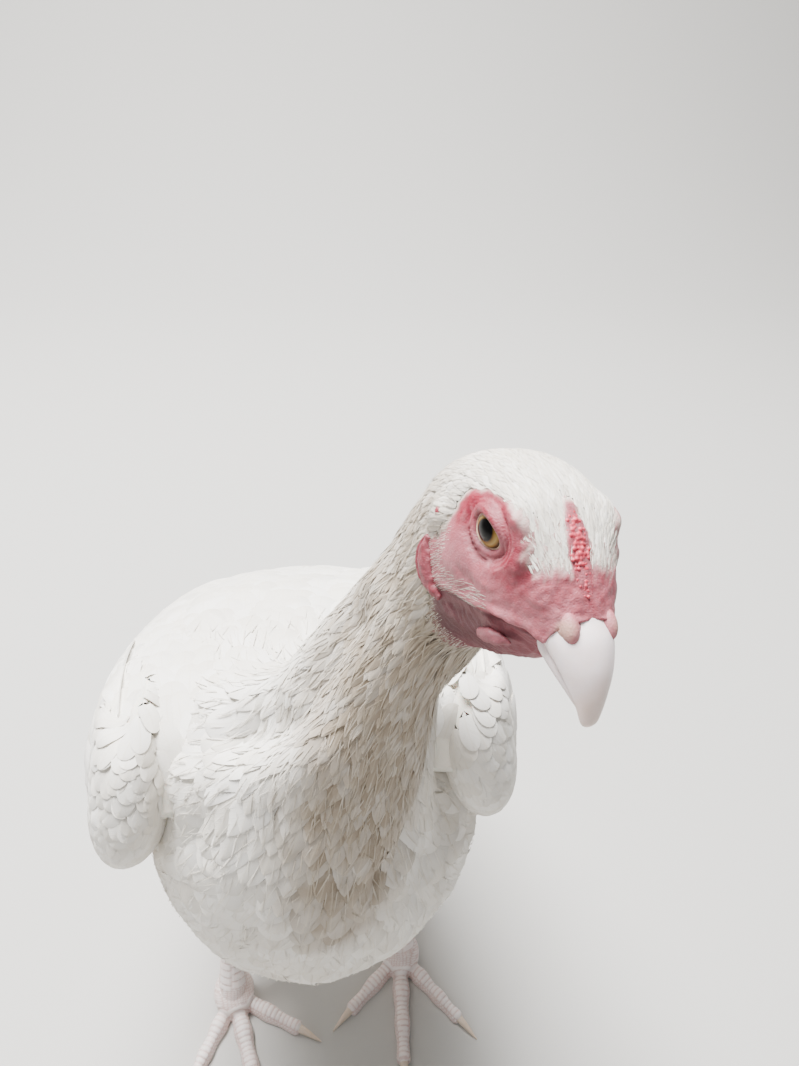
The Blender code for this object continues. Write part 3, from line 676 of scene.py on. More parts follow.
def new_material(name, **shader_values):
    """A material, its nodes and its shader, with these values in the shader."""
    made = bpy.data.materials.new(name)
    made.use_nodes = True
    shader = made.node_tree.nodes["Principled BSDF"]
    for key, value in shader_values.items():
        shader.inputs[key.replace("_", " ")].default_value = value
    return made, made.node_tree, shader


def mixed(tree, share, first, second):
    """A colour between two, given as codes or outputs, by a share from 0 to 1."""
    made = node(tree, "Mix", data_type="RGBA")
    for where, value in ((0, share), (6, first), (7, second)):
        value = linear(value) if isinstance(value, str) else value
        if isinstance(value, (int, float, tuple)):
            made.inputs[where].default_value = value
        else:
            tree.links.new(value, made.inputs[where])
    return made.outputs[2]


def maths(tree, operation, *values, clamp=False):
    """One step of arithmetic on outputs and numbers."""
    made = node(tree, "Math", operation=operation, use_clamp=clamp)
    for i, value in enumerate(values):
        if isinstance(value, (int, float)):
            made.inputs[i].default_value = value
        else:
            tree.links.new(value, made.inputs[i])
    return made.outputs[0]


def value_of(tree, name):
    """One of the values that the mesh keeps at its points."""
    return node(tree, "Attribute", attribute_name=name).outputs["Fac"]


def finish(tree, shader, colour, height, strength, depth_mm):
    """Links a material's colour and its fine relief to the shader."""
    tree.links.new(colour, shader.inputs["Base Color"])
    bump = node(tree, "Bump", {"Height": height}, in_0=strength)
    bump.inputs["Distance"].default_value = depth_mm * MM
    tree.links.new(bump.outputs[0], shader.inputs["Normal"])


def noise_of(tree, size_mm, detail=2.0):
    """Noise with features of this size, on Object coordinates."""
    place = node(tree, "TexCoord").outputs["Object"]
    return node(tree, "TexNoise", {"Vector": place}, in_2=1 / (size_mm * MM), in_3=detail).outputs[0]


def plumage_material():
    """White contour feather: matt keratin barbs that lie side by side, with dust on their tips and painted
    shade.
    """
    made, tree, shader = new_material("white_plumage", Roughness=0.78, Sheen_Weight=0.12,
                                      Sheen_Roughness=0.6, Specular_IOR_Level=0.25)
    uv = node(tree, "UVMap", uv_map="barbs").outputs[0]
    parts = node(tree, "SeparateXYZ", {0: uv})
    across = maths(tree, "ABSOLUTE", parts.outputs[0])
    slanted = maths(tree, "SUBTRACT", parts.outputs[1], maths(tree, "MULTIPLY", across, SLANT))
    # Barbs are 0.3 mm apart on a real feather, and are drawn 0.7 mm apart so that they show.
    barb_gap, barb_length = 0.7 * MM, 9 * MM
    place = node(tree, "CombineXYZ", {0: maths(tree, "MULTIPLY", slanted, 1 / barb_gap),
                                      1: maths(tree, "MULTIPLY", across, 1 / barb_length)})
    barb = node(tree, "TexNoise", {"Vector": place.outputs[0]}, in_2=1.0, in_3=2.0).outputs[0]
    tone, stain, tip = (value_of(tree, name) for name in ("tone", "stain", "tip"))
    clean = mixed(tree, maths(tree, "MULTIPLY", tone, 0.7), "F1EEE8", "DFD8CB")
    blotches = noise_of(tree, 9, 4)
    # Beige where dust lies, and where shade is painted low on the breast and beside the wings.
    dust_and_shade_share = maths(tree, "MULTIPLY", stain, maths(tree, "MULTIPLY_ADD", blotches, 1.1, 0.38), clamp=True)
    uneven = maths(tree, "MULTIPLY_ADD", tone, 0.5, 0.7)
    dust_and_shade_share = maths(tree, "MULTIPLY", dust_and_shade_share, uneven, clamp=True)
    beige = mixed(tree, dust_and_shade_share, clean, "9A8B79")
    end = maths(tree, "MULTIPLY", maths(tree, "POWER", tip, 3.0), stain, clamp=True)
    tipped = mixed(tree, maths(tree, "MULTIPLY", end, 0.35), beige, "7D6E5C")
    # Painted shade: every feather greys towards its very tip, to stand for the thin shadow line along its
    # edge.
    blend_share = maths(tree, "MULTIPLY", maths(tree, "POWER", tip, 9.0), 0.3)
    tipped = mixed(tree, blend_share, tipped, "CFC5B4")
    shaft = maths(tree, "LESS_THAN", across, 0.25 * MM)
    coloured = mixed(tree, maths(tree, "MULTIPLY", shaft, 0.2), tipped, "D8CBB2")
    finish(tree, shader, coloured, barb, 0.35, 0.3)
    return made


def skin_material():
    """Bare poultry skin: blood-red to pink, dry, with fine wrinkles and feather pits, and painted shade."""
    made, tree, shader = new_material("face_skin", Roughness=0.55, Subsurface_Weight=0.15,
                                      Subsurface_Radius=(1.0, 0.35, 0.25), Subsurface_Scale=1.2 * MM)
    names = ("blood", "dusk", "lid", "stain", "bare")
    blood, dusk, lid, stain, bare = (value_of(tree, name) for name in names)
    mottle = noise_of(tree, 2.2, 5)
    red = maths(tree, "MULTIPLY_ADD", maths(tree, "SUBTRACT", mottle, 0.5), 0.9, blood, clamp=True)
    face = mixed(tree, red, "B47279", "8E1F34")
    # The face darkens towards red-brown, partly as darker skin and partly as painted shade.
    face = mixed(tree, dusk, face, "3C141B")
    face = mixed(tree, lid, face, "C2A98E")
    # The down under the plumage takes the same beige of dust and painted shade.
    down = mixed(tree, stain, "EFE9DD", "9A8B79")
    coloured = mixed(tree, bare, down, face)
    # Wrinkles and pits of the skin are about 0.8 mm apart.
    wrinkles = node(tree, "TexVoronoi", {"Vector": node(tree, "TexCoord").outputs["Object"]},
                    feature="DISTANCE_TO_EDGE")
    wrinkles.inputs["Scale"].default_value = 1 / (0.8 * MM)
    fine = maths(tree, "ADD", maths(tree, "MINIMUM", wrinkles.outputs[0], 0.25), noise_of(tree, 0.5, 2))
    finish(tree, shader, coloured, fine, 0.5, 0.25)
    return made


def comb_material():
    """Comb and lobes: blood-filled skin, scarlet, with paler worn patches spread by noise."""
    made, tree, shader = new_material("red_comb_skin", Roughness=0.5, Subsurface_Weight=0.15,
                                      Subsurface_Radius=(1.0, 0.3, 0.25), Subsurface_Scale=1.0 * MM)
    blend_share = maths(tree, "MULTIPLY_ADD", noise_of(tree, 1.4, 4), 1.6, -0.3, clamp=True)
    coloured = mixed(tree, blend_share, "AE1E33", "D9606F")
    finish(tree, shader, coloured, noise_of(tree, 0.6, 3), 0.4, 0.2)
    return made


def horn_material(name, pale, dark, roughness):
    """Keratin of beak and claws: grown in fine layers, waxy and a little translucent."""
    made, tree, shader = new_material(name, Roughness=roughness, Subsurface_Weight=0.1,
                                      Subsurface_Radius=(1.0, 0.7, 0.5), Subsurface_Scale=1.5 * MM)
    cloud = maths(tree, "MULTIPLY_ADD", noise_of(tree, 5, 3), 0.5, -0.25)
    share = maths(tree, "ADD", value_of(tree, "wear"), cloud, clamp=True)
    coloured = mixed(tree, share, pale, dark)
    finish(tree, shader, coloured, noise_of(tree, 0.8, 4), 0.15, 0.2)
    return made


# The pupil's radius, and the radius at which the eye's rings of colour end.
PUPIL_RADIUS, IRIS_REACH = 2.6, 5.0


def eye_material():
    """A wet eye: amber iris with fine threads round a black pupil, under a clear cornea."""
    made, tree, shader = new_material("wet_eye", Roughness=0.3, Coat_Weight=0.15, Coat_Roughness=0.02,
                                      Specular_IOR_Level=0.1)
    # The map's y is the distance from the pupil's centre in metres, and its x is the turn about it.
    uv = node(tree, "UVMap", uv_map="iris").outputs[0]
    radius = node(tree, "SeparateXYZ", {0: uv}).outputs[1]
    rings = node(tree, "ValToRGB", {0: maths(tree, "MULTIPLY", radius, 1 / (IRIS_REACH * MM))})
    stops = ((0.0, "020202"), (0.5, "040303"), (0.54, "33240F"), (0.6, "7E6230"), (0.72, "B49A5C"),
             (0.8, "8E6C3A"), (0.86, "3A2812"), (1.0, "20160F"))
    ramp = rings.color_ramp
    while len(ramp.elements) < len(stops):
        ramp.elements.new(0.5)
    for element, (position, code) in zip(ramp.elements, stops):
        element.position = position
        element.color = linear(code)
    threads = node(tree, "TexNoise", {"Vector": uv}, in_2=14, in_3=3)
    iris = maths(tree, "GREATER_THAN", radius, PUPIL_RADIUS * MM)
    shade = maths(tree, "MULTIPLY", iris, threads.outputs[0])
    coloured = mixed(tree, maths(tree, "MULTIPLY", shade, 0.35), rings.outputs[0], "7A5320")
    tree.links.new(coloured, shader.inputs["Base Color"])
    return made


def leg_material():
    """Scaled leg skin: horny plates of pale pink, with pinker skin in the creases between them."""
    made, tree, shader = new_material("scaled_leg_skin", Roughness=0.5, Subsurface_Weight=0.1,
                                      Subsurface_Radius=(1.0, 0.5, 0.4), Subsurface_Scale=1.0 * MM)
    plate = mixed(tree, noise_of(tree, 6, 3), "F6EEEB", "E6D6D0")
    crease = maths(tree, "MULTIPLY", value_of(tree, "crease"), 0.7)
    coloured = mixed(tree, crease, plate, "C59C92")
    finish(tree, shader, coloured, noise_of(tree, 0.6, 3), 0.25, 0.2)
    return made


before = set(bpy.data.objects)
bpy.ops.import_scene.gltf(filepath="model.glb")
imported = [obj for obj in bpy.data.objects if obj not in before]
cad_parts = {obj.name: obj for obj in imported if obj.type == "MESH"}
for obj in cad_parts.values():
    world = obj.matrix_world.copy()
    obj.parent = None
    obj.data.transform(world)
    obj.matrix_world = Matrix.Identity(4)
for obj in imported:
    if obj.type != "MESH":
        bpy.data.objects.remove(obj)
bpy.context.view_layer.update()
bpy.ops.object.select_all(action="DESELECT")

PLUMAGE = plumage_material()
SKIN = skin_material()
COMB = comb_material()
HORN = horn_material("beak_horn", "FBEDEE", "CBA98F", 0.35)
CLAW = horn_material("claw_horn", "E6D6C6", "B99B7C", 0.4)
EYE = eye_material()
LEG = leg_material()

body_points, body_stations = body_grid()
body = Sheet(body_points, -1)


def station_of(u):
    """The station at a row of the body's sheet."""
    return np.interp(u, np.arange(body.rows), body_stations)


def row_of(station):
    """The row of the body's sheet at a station."""
    return np.interp(station, body_stations, np.arange(body.rows))


def eye_axes(side):
    """The eye's centre, the way it looks, the ways ahead and up across it, and the lids' shift."""
    centre = from_head(np.array(EYE_CENTRE) * (1, side, 1))
    look = unit(HEAD_MATRIX[:3, :3] @ (np.array(EYE_LOOK) * (1, side, 1)))
    ahead = HEAD_MATRIX[:3, :3] @ np.array((1, 0, -0.15))
    ahead = unit(ahead - look * (ahead @ look))
    up = np.cross(look, ahead) * -side
    return centre, look, ahead, up, LID_SHIFT[0] * ahead + LID_SHIFT[1] * up


# Folds of the skin round the lids: their height, and how far one is from the next.
LID_FOLD, LID_FOLD_GAP = 0.2, 1.2
# The lid's profile: distance from the eye's axis, and height over the eye's centre. The opening is an
# oval, so distances are measured as if it was stretched to a ring, along the head and across it.
LID_PROFILE = ((4.3, 5.75), (4.6, 6.25), (5.1, 6.6), (5.8, 6.6), (6.5, 6.2), (7.4, 5.6))
LID_STRETCH, LID_SHIFT = (0.95, 1.27), (0.3, -0.45)
# How far round the eye the skin follows the lids, the width of the lids' edge, and how deep the skin lies
# behind the eye's face in the opening.
LID_REACH, LID_EDGE, CUP_DEPTH = 10, 0.35, 1.6
CORNEA_RADIUS, CORNEA_HEIGHT = 4.8, 0.7


def eye_space(points, side):
    """Offsets off the middle of the lids, height over the eye's centre, and distance by the oval."""
    centre, look, ahead, up, shift = eye_axes(side)
    offset = points - centre - shift
    height = offset @ look
    flat = offset - height[..., None] * look
    a, b = flat @ ahead, flat @ up
    return flat, height, np.hypot(a * LID_STRETCH[0], b * LID_STRETCH[1])


def eye_height(flat, side):
    """Height of the eyeball and its cornea, at offsets off the middle of the lids."""
    return ball_height(np.linalg.norm(flat + eye_axes(side)[-1], axis=-1))


def cornea_height(radius):
    """How far the cornea stands over the eyeball, at distances from the eye's axis."""
    return CORNEA_HEIGHT * np.maximum(1 - (radius / CORNEA_RADIUS) ** 2, 0)


def ball_height(radius):
    """Height of the eyeball and its cornea, at distances from the eye's axis."""
    return np.sqrt(np.maximum(EYE_RADIUS**2 - radius**2, 0)) + cornea_height(radius)


def fold_wave(away):
    """The folds round the lids as a wave, by distance from the eye's axis."""
    return np.sin((away - 5.2) * 2 * np.pi / LID_FOLD_GAP)


def set_eyes(grid):
    """Sinks a cup for each eye and raises its lids."""
    made = grid.copy()
    for side in (1, -1):
        centre, look, _, _, shift = eye_axes(side)
        flat, height, away = eye_space(made, side)
        near = (height > 0) & (away < LID_REACH)
        inner = near & (away < LID_OPENING)
        rim = near & ~inner & (away < LID_OPENING + LID_EDGE)
        radius = np.where(inner & (away > LID_OPENING - LID_EDGE), LID_OPENING - 0.08, away)
        radius = np.where(rim, LID_OPENING + 0.02, radius)
        scale = radius / np.maximum(away, 1e-6)
        over = eye_height(flat * scale[..., None], side)
        lid = np.interp(radius, *np.transpose(LID_PROFILE))
        lid += (over - ball_height(radius)) * smooth_step(8.5, 4.3, radius)
        folds = LID_FOLD * fold_wave(away) * smooth_step(5.0, 6.2, away) * smooth_step(LID_REACH, 8.5, away)
        share = smooth_step(9.4, 6.4, away)
        target = np.where(inner, over - CUP_DEPTH, height * (1 - share) + lid * share + folds)
        target = np.where(near, target, height)
        scaled = flat * np.where(near, scale, 1)[..., None]
        made = centre + shift + scaled + target[..., None] * look
    return made


# Finer forms of the face: centre in the head's frame, half sizes, and push in mm.
FACE_FORMS = (
    ((4, 16, 6.5), (9, 5, 2.6), 0.9), ((9.5, 13, -1), (3.2, 5, 6), 0.9),
    ((13, 11, -3), (2.2, 5, 5), -0.8), ((17.5, 9, -5), (3.0, 4, 5), 0.6),
    ((2, 16, -11), (9, 5, 2.0), 0.5), ((0, 17, -13.8), (9, 5, 1.5), -0.5),
    ((-9, 17, -10), (4, 5, 4), 0.6), ((14, 12, -14.2), (11, 6, 1.9), 1.0),
    ((12, 12, -19.4), (10, 6, 2.4), 0.9), ((-21, 17.5, -12), (2.2, 4, 2.2), -2.4),
    ((24, 3.5, -7.4), (5.0, 4.2, 4.2), 0.8), ((0, 10, -30), (13, 8, 4), 0.8),
    ((6, 6, -33), (12, 5, 4), 0.8),
)
# How far the wrinkles of the throat are apart.
WRINKLE_GAP = 2.3
# The line of the mouth and of the lower edge of the cheek behind it, in the head's x and z.
MOUTH_LINE = (
    (-12, -28), (-5, -25), (1, -21.6), (6.8, -18.9), (14.4, -14.6), (19, -13.4), (24, -13.2), (28, -12.2),
)


def below_mouth(at):
    """How far points of the head's frame lie below the line of the mouth."""
    return np.interp(at[..., 0], *np.transpose(MOUTH_LINE)) - at[..., 2]


def on_one_side(at):
    """Points of the head's frame, with those of the right side taken over to the left."""
    return np.stack([at[..., 0], abs(at[..., 1]), at[..., 2]], -1)


def shape_face(grid):
    """Raises the folds of the face and cuts the mouth's line."""
    at = to_head(grid)
    around = (np.roll(grid, -1, 1) - np.roll(grid, 1, 1)) / 2
    outward = unit(np.cross(np.gradient(grid, axis=0), around))
    push = np.zeros(grid.shape[:2])
    for centre, half_sizes, height in FACE_FORMS:
        away = np.linalg.norm((on_one_side(at) - np.array(centre)) / np.array(half_sizes), axis=-1)
        push += height * swelling(away)
    below = below_mouth(at)
    reach = smooth_step(-9, 0, at[..., 0]) * (abs(at[..., 1]) > 3)
    # The gape's groove, the lip above it and the hollow below.
    push -= (0.9 + 1.2 * smooth_step(8, 14, at[..., 0])) * reach * np.exp(-(((below - 0.4) / 0.8) ** 2))
    push += 0.7 * reach * np.exp(-(((below + 1.6) / 1.3) ** 2))
    push -= 1.3 * reach * smooth_step(0.2, 1.6, below) * smooth_step(9, 4, below)
    coarse = noise_at(grid, 5)
    # Wrinkles run along the throat, and waver with the coarse noise.
    turn = (at[..., 2] + 0.35 * at[..., 0]) * 2 * np.pi / WRINKLE_GAP + 5 * coarse
    push += 0.16 * reach * np.sin(turn) * smooth_step(2, 5, below)
    push += bareness(grid) * (0.28 * noise_at(grid, 1.7) + 0.3 * coarse)
    return grid + outward * push[..., None]


# The nostrils' pads and the skin under them: centre and half sizes in the head's frame, tilt, segments.
NOSTRIL_PAD = ((24.9, 5.5, -6.6), (3.9, 2.1, 2.6), 0.5, 48)
NOSTRIL_SKIRT = ((23.4, 4.6, -8.6), (4.6, 3.4, 4.2), 0.0, 64)


def make_skin():
    """One closed skin for trunk, neck, head and thighs."""
    bare = bareness(body.points)
    depth = by_station("depth", body_stations)[:, None] * (1 - bare)
    grid = body.points - body.normals * depth[..., None]
    grid = set_eyes(shape_face(grid))
    skin = grid_piece("skin", grid)
    others = []
    for word, side in SIDES.items():
        others.append(grid_piece("thigh", under(THIGHS[word], THIGH_DEPTH)))
        for centre, sizes, tilt, segments in (NOSTRIL_PAD, NOSTRIL_SKIRT):
            others.append(shaped_ball("nostril", np.array(centre) * (1, side, 1), sizes, tilt, segments))
    others.append(grid_piece("tail_root", under(tail_root, TAIL_DEPTH)))
    for word in SIDES:
        others.append(grid_piece("mantle", under(MANTLES[word], MANTLE_DEPTH)))
    unite(skin, others)
    put_values(skin, face_colours(mesh_points(skin)))
    skin.data.shade_smooth()
    settle(skin, SKIN, "skin", "torso", "neck_lower", "neck_upper", "head", "thigh_left", "thigh_right")
    return Sheet(grid, -1)


def under(sheet, depth):
    """The sheet's points, this deep under its face."""
    return sheet.points - sheet.normals * depth


def unite(obj, others):
    """Fuses the others into the object, and removes them."""
    group = bpy.data.collections.new("fused")
    bpy.context.scene.collection.children.link(group)
    for other in others:
        for home in list(other.users_collection):
            home.objects.unlink(other)
        group.objects.link(other)
    step = obj.modifiers.new("fuse", "BOOLEAN")
    step.operation = "UNION"
    step.solver = "MANIFOLD"
    step.operand_type = "COLLECTION"
    step.collection = group
    apply_all(obj)
    for other in others:
        bpy.data.objects.remove(other)
    bpy.data.collections.remove(group)


def apply_all(obj):
    """Applies the object's modifiers."""
    bpy.context.view_layer.objects.active = obj
    for step in list(obj.modifiers):
        bpy.ops.object.modifier_apply(modifier=step.name)


def mesh_points(obj):
    """The object's points in millimetres of the bird's frame."""
    points = np.zeros(len(obj.data.vertices) * 3, np.float32)
    obj.data.vertices.foreach_get("co", points)
    return points.reshape(-1, 3) / MM + BOX_MIDDLE


def move_points(obj, points):
    """Sets the object's points, given in millimetres of the bird's frame."""
    placed = (points - BOX_MIDDLE) * MM
    obj.data.vertices.foreach_set("co", placed.astype(np.float32).ravel())
    obj.data.update()
    obj.data.shade_smooth()


def put_values(obj, values):
    """Keeps values at the mesh's points, for its material."""
    for key, value in values.items():
        found = obj.data.attributes.get(key) or obj.data.attributes.new(key, "FLOAT", "POINT")
        found.data.foreach_set("value", value.astype(np.float32))


# Where the face is redder (above 0) or paler: centre in the head's frame, radius and share.
BLOOD = (
    ((-2, 17, 7), 6, 0.5), ((-10, 17, 4), 6, 0.6), ((-11, 18, -4), 4.5, 0.45), ((9, 13, 0), 5, 0.5),
    ((11, 12, -6), 5, 0.45), ((13, 6, 2), 5, 0.2), ((20, 2, -2), 6, 0.15), ((-3, 19, -13), 5, -0.2),
    ((5, 15, -11), 5, -0.1), ((14, 13, -11), 4, -0.15), ((4, 18, -17), 7, 0.1),
    ((-13, 18, -14), 5, 0.1), ((-17.9, 18.5, -10.2), 1.6, 0.8), ((25.2, 6.2, -6.2), 3.0, -0.5),
)
# Where it is darker, likewise: partly darker, mauve skin round the eye, and partly painted shade under the
# brow, round the eye and under the jaw.
DARK_SKIN_AND_SHADE = (
    ((10.5, 13.5, 0.5), 4.5, 0.32), ((12, 12.5, -5), 3.5, 0.2), ((-2, 19, -11), 7, 0.3),
    ((-6, 16, 5.5), 4, 0.12), ((8, 8, -26), 9, 0.3), ((-4, 12, -36), 12, 0.4),
)
# The nostril's slit as painted shade, with its centre and half sizes, and the pale pad over it, with its
# radius.
NOSTRIL_SLIT, PALE_PAD = ((25.6, 7.6, -8.6), (2.4, 2, 0.9)), ((25.6, 6.6, -6.4), 2.4)


def face_colours(points):
    """How bare, red, dark and dusty the skin is, where it is pale like a lid's rim, and where shade is
    painted.
    """
    at = on_one_side(to_head(points))
    blood = np.full(len(points), 0.36)
    dusk = np.zeros(len(points))
    for spots, made in ((BLOOD, blood), (DARK_SKIN_AND_SHADE, dusk)):
        for centre, radius, share in spots:
            away = np.linalg.norm(at - np.array(centre), axis=1) / radius
            made += share * np.exp(-(away**2))
    # The throat under the mouth's line is redder, and darkened with painted shade, darkest in the gape's
    # groove.
    below = below_mouth(at)
    throat = smooth_step(-0.2, 1.4, below) * (at[:, 1] > 1) * smooth_step(26, 22, at[:, 0])
    blood += 0.25 * throat
    dusk += throat * (0.5 + 0.3 * smooth_step(1.4, 0.2, abs(below - 0.6)))
    # Painted shade where the nostril's slit would open.
    slit = np.linalg.norm((at - NOSTRIL_SLIT[0]) / NOSTRIL_SLIT[1], axis=1)
    dusk += 0.7 * np.exp(-(slit**2))
    pad = np.linalg.norm(at - PALE_PAD[0], axis=1) / PALE_PAD[1]
    lid = 0.55 * np.exp(-(pad**4))
    # Painted shade round the lids: the skin there is darker, most of all in the troughs of its folds, which
    # are also redder, and at the edge of the opening.
    for side in (1, -1):
        _, height, away = eye_space(points, side)
        near = (height > 3) & (away < LID_REACH)
        folds = fold_wave(away) * smooth_step(5.4, 6, away)
        blood += np.where(near, -0.2 * folds, 0)
        dusk += np.where(near & (away > 5.2), 0.14 - 0.12 * folds, 0) * smooth_step(LID_REACH, 7, away)
        dusk += np.where(near, 0.45 * smooth_step(5.3, 4.7, away), 0)
    return {
        "bare": bareness(points),
        "blood": np.clip(blood, 0, 1),
        "dusk": np.clip(dusk, 0, 1),
        "lid": lid,
        "stain": dust_and_shade_at(points),
    }


# The left leg: front point, back point and half width from the hip down.
LEG_ROWS = (
    ((40, -38, 178), (40, 44, 190), 30), ((44, -34, 155), (43, 42, 158), 28),
    ((48, -20, 130), (47, 38, 132), 22), ((50, -6, 110), (49, 32, 111), 15),
    ((49, 3, 96), (49, 28, 97), 10.5), ((48.5, 6, 86), (48.5, 26, 88), 8.4),
    ((48.5, 6, 77), (48.5, 25.5, 80), 8.2), ((48, 1, 63), (48, 17, 66), 6.6),
    ((48, -7, 46), (48, 8, 49), 6.2), ((48, -13, 29), (48, 2, 32), 6.4),
    ((48, -20, 15), (48, -1, 17), 8),
)
# The row of that table where the scales start, rows made from each to the next, points round each, and
# rows over the hip.
LEG_CUT, LEG_STEPS, LEG_SIDES, HIP_ROWS = 5, 8, 64, 9
# Depth of the thigh's plumage over its skin.
THIGH_DEPTH = 3.0
# The ball of the foot: its middle and half sizes.
FOOT_PAD, FOOT_PAD_SIZE = (48, -12, 7), (11, 13, 9)
# How far back each foot stands, and how far it is turned in, in degrees.
FOOT_SHIFTS = {"left": 7, "right": -7}
FOOT_TURNS = {"left": 2, "right": 14}
# Each toe: heading in degrees towards the midline, length without the claw, root and tip radius, joints.
TOES = {
    "middle": (2, 52, 5.2, 3.6, 3),
    "inner": (46, 37, 4.9, 3.5, 2),
    "outer": (-40, 43, 4.8, 3.3, 3),
    "hind": (160, 20, 4.2, 3.0, 1),
}
# A toe's height as a share of its radius, how far off the pad's middle it starts, how much its joints
# swell, and how many rows are made for each.
TOE_HEIGHT, TOE_START, JOINT_SWELLING, JOINT_ROWS = 1.75, 4, 0.09, 14
CLAW_LENGTH, HIND_CLAW_LENGTH = 13, 9


def leg_rows(word):
    """The leg from the hip down, with its foot shifted ahead or back."""
    rows = catmull(table_rows(LEG_ROWS), LEG_STEPS)
    share = np.linspace(0, 1, len(rows)) ** 1.5
    rows[:, [1, 4]] += (FOOT_SHIFTS[word] * share)[:, None]
    return rows


def thigh_sheet(word, side):
    """The thigh, from under the wing down to where the scales start."""
    rows = leg_rows(word)
    step = (rows[0] - rows[LEG_STEPS]) / LEG_STEPS
    step[6] = -0.8
    hip = rows[0] + step * np.arange(HIP_ROWS, 0, -1)[:, None]
    rows = np.vstack([hip, rows[: LEG_CUT * LEG_STEPS + 1]])
    return Sheet(rings_of(rows, round_outline(LEG_SIDES)), 1, side)


THIGHS = {word: thigh_sheet(word, side) for word, side in SIDES.items()}


def wing_cover():
    """The folded wings' solids, to find what they hide."""
    trees = []
    for word in SIDES:
        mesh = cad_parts[f"wing_{word}"].data
        points = [Vector(v.co) / MM + Vector(BOX_MIDDLE) for v in mesh.vertices]
        trees.append(bvhtree.BVHTree.FromPolygons(points, [tuple(p.vertices) for p in mesh.polygons]))
    return trees


# How far a folded wing may stand off what it hides.
WINGS_HIDE_WITHIN = 30


def hidden(points, normals, trees):
    """Which of the points lie under a folded wing."""
    made = np.zeros(len(points), bool)
    for i, (point, normal) in enumerate(zip(points, normals)):
        for tree in trees:
            if tree.ray_cast(Vector(point), Vector(normal), WINGS_HIDE_WITHIN)[0]:
                made[i] = True
    return made


def lay(sheet, u, v, lengths, depths, lifts, turns, stations, drape=0.0):
    """Paths from the skin up to the coat's face, and the way out of it."""
    paths, outs = paths_over(sheet, u, v, lengths, turns, stations, drape)
    share = np.linspace(0, 1, stations)
    height = -depths[:, None] * (1 - share) ** 2 + lifts[:, None] * share**2
    return paths + outs * height[..., None], outs


# The share of a feather's length where its bend is measured, and the most and the least that it bends.
BEND_SHARE, MOST_BEND, LEAST_BEND = 0.6, 0.6, 0.03


def bends(sheet, u, v, lengths, halves):
    """How far the sheet falls away under the edges of feathers, as a share of their half width."""
    rate = np.linalg.norm(sheet.read(sheet.along, u, v), axis=1)
    u = u + sheet.sense * BEND_SHARE * lengths / rate
    here, out = sheet.read(sheet.points, u, v), unit(sheet.read(sheet.normals, u, v))
    rate = np.linalg.norm(sheet.read(sheet.around, u, v), axis=1)
    fall = 0
    for way in (1, -1):
        there = sheet.read(sheet.points, u, v + way * halves / rate)
        fall = fall + ((here - there) * out).sum(1) / 2
    return np.clip(fall / halves, 0, MOST_BEND) + LEAST_BEND


def small_feathers(sheet, table, allowed, seeds, depth, rng=None, turn=0.0, wobble=5, uneven=UNEVEN,
                   lift=0.05, loose=False, stations=8, drape=0.0, last=None):
    """A batch of small round feathers that lie over a sheet.

    The table has places along the sheet, and the spacing, the lengths and the half widths there. turn and
    wobble are degrees off the lie, lift is how far the tips stand off as a share of the half width, and
    loose lifts each by another share of that.
    """
    rng = rng or np.random.default_rng(seeds[0])
    places, gaps, lengths, halves = table
    u, v = scatter(sheet, lambda rows: np.interp(rows, places, gaps), allowed, seeds[0], last=last)
    lengths = np.interp(u, places, lengths) * (1 + rng.normal(0, uneven, len(u)))
    halves = np.interp(u, places, halves)
    turns = math.radians(turn) + rng.normal(0, math.radians(wobble), len(u))
    lifts = halves * lift * (rng.random(len(u)) if loose else 1)
    paths, outs = lay(sheet, u, v, lengths, np.full(len(u), depth), lifts, turns, stations, drape)
    return vanes(paths, outs, halves, "round", seeds[1], sheet.bake_place(u, v), dust_and_shade_at(paths),
                 cup=bends(sheet, u, v, lengths, halves))


# How strongly the feathers of the body hang down from the lie of their sheet.
BODY_DRAPE = 0.12


def body_tract(first, last, stretches, shape, seed, trees, **form):
    """The plumage of one length of the body, from station first to last, as its feathers' measures."""
    rng = np.random.default_rng(seed)

    def allowed(u, v, points):
        return bareness(points) < 0.95 * rng.random(len(points)) ** 0.7

    def spacing(rows):
        return by_station("spacing", station_of(rows))

    u, v = scatter(body, spacing, allowed, seed, row_of(first), row_of(last))
    station = station_of(u)
    # Feathers are smaller along the edge of the bare face.
    border = bareness(body.read(body.points, u, v))
    uneven = 1 + rng.normal(0, UNEVEN, len(u))
    lengths = by_station("length", station) * uneven * (1 - 0.1 * border)
    uneven = 1 + rng.normal(0, UNEVEN, len(u))
    halves = by_station("half width", station) * uneven * (1 - 0.85 * border)
    lifts = (rng.random(len(u)) - 0.2) * 0.05 * halves
    turns = rng.normal(0, math.radians(4), len(u))
    depths = by_station("depth", station)
    paths, outs = lay(body, u, v, lengths, depths, lifts, turns, 9, BODY_DRAPE)
    seen = ~(hidden(paths[:, 0], outs[:, 0], trees) & hidden(paths[:, -1], outs[:, -1], trees))
    return {
        "paths": paths[seen],
        "outs": outs[seen],
        "halves": halves[seen],
        "cup": bends(body, u, v, lengths, halves)[seen],
        "bake": body.bake_place(u, v)[seen],
        "shape": shape,
        "seed": seed,
        "form": {"stretches": stretches, **form},
    }


def grown(tract, kept=None):
    """A tract's vanes, or those of its feathers that are kept."""
    kept = np.ones(len(tract["halves"]), bool) if kept is None else kept
    paths = tract["paths"][kept]
    return vanes(paths, tract["outs"][kept], tract["halves"][kept], tract["shape"], tract["seed"],
                 tract["bake"][kept], dust_and_shade_at(paths), cup=tract["cup"][kept], **tract["form"])


# Loose barbs over the coat: piece, stations from and to, spacing, length, half width and seed.
LOOSE_BARBS = (
    ("loose_barbs_breast", 5, 10.2, 3.2, 10, 0.24, 14),
    ("loose_barbs_neck", 10.2, 15, 1.9, 7.5, 0.2, 15),
    ("loose_barbs_head", 15, 22, 0.95, 3.6, 0.09, 16),
)


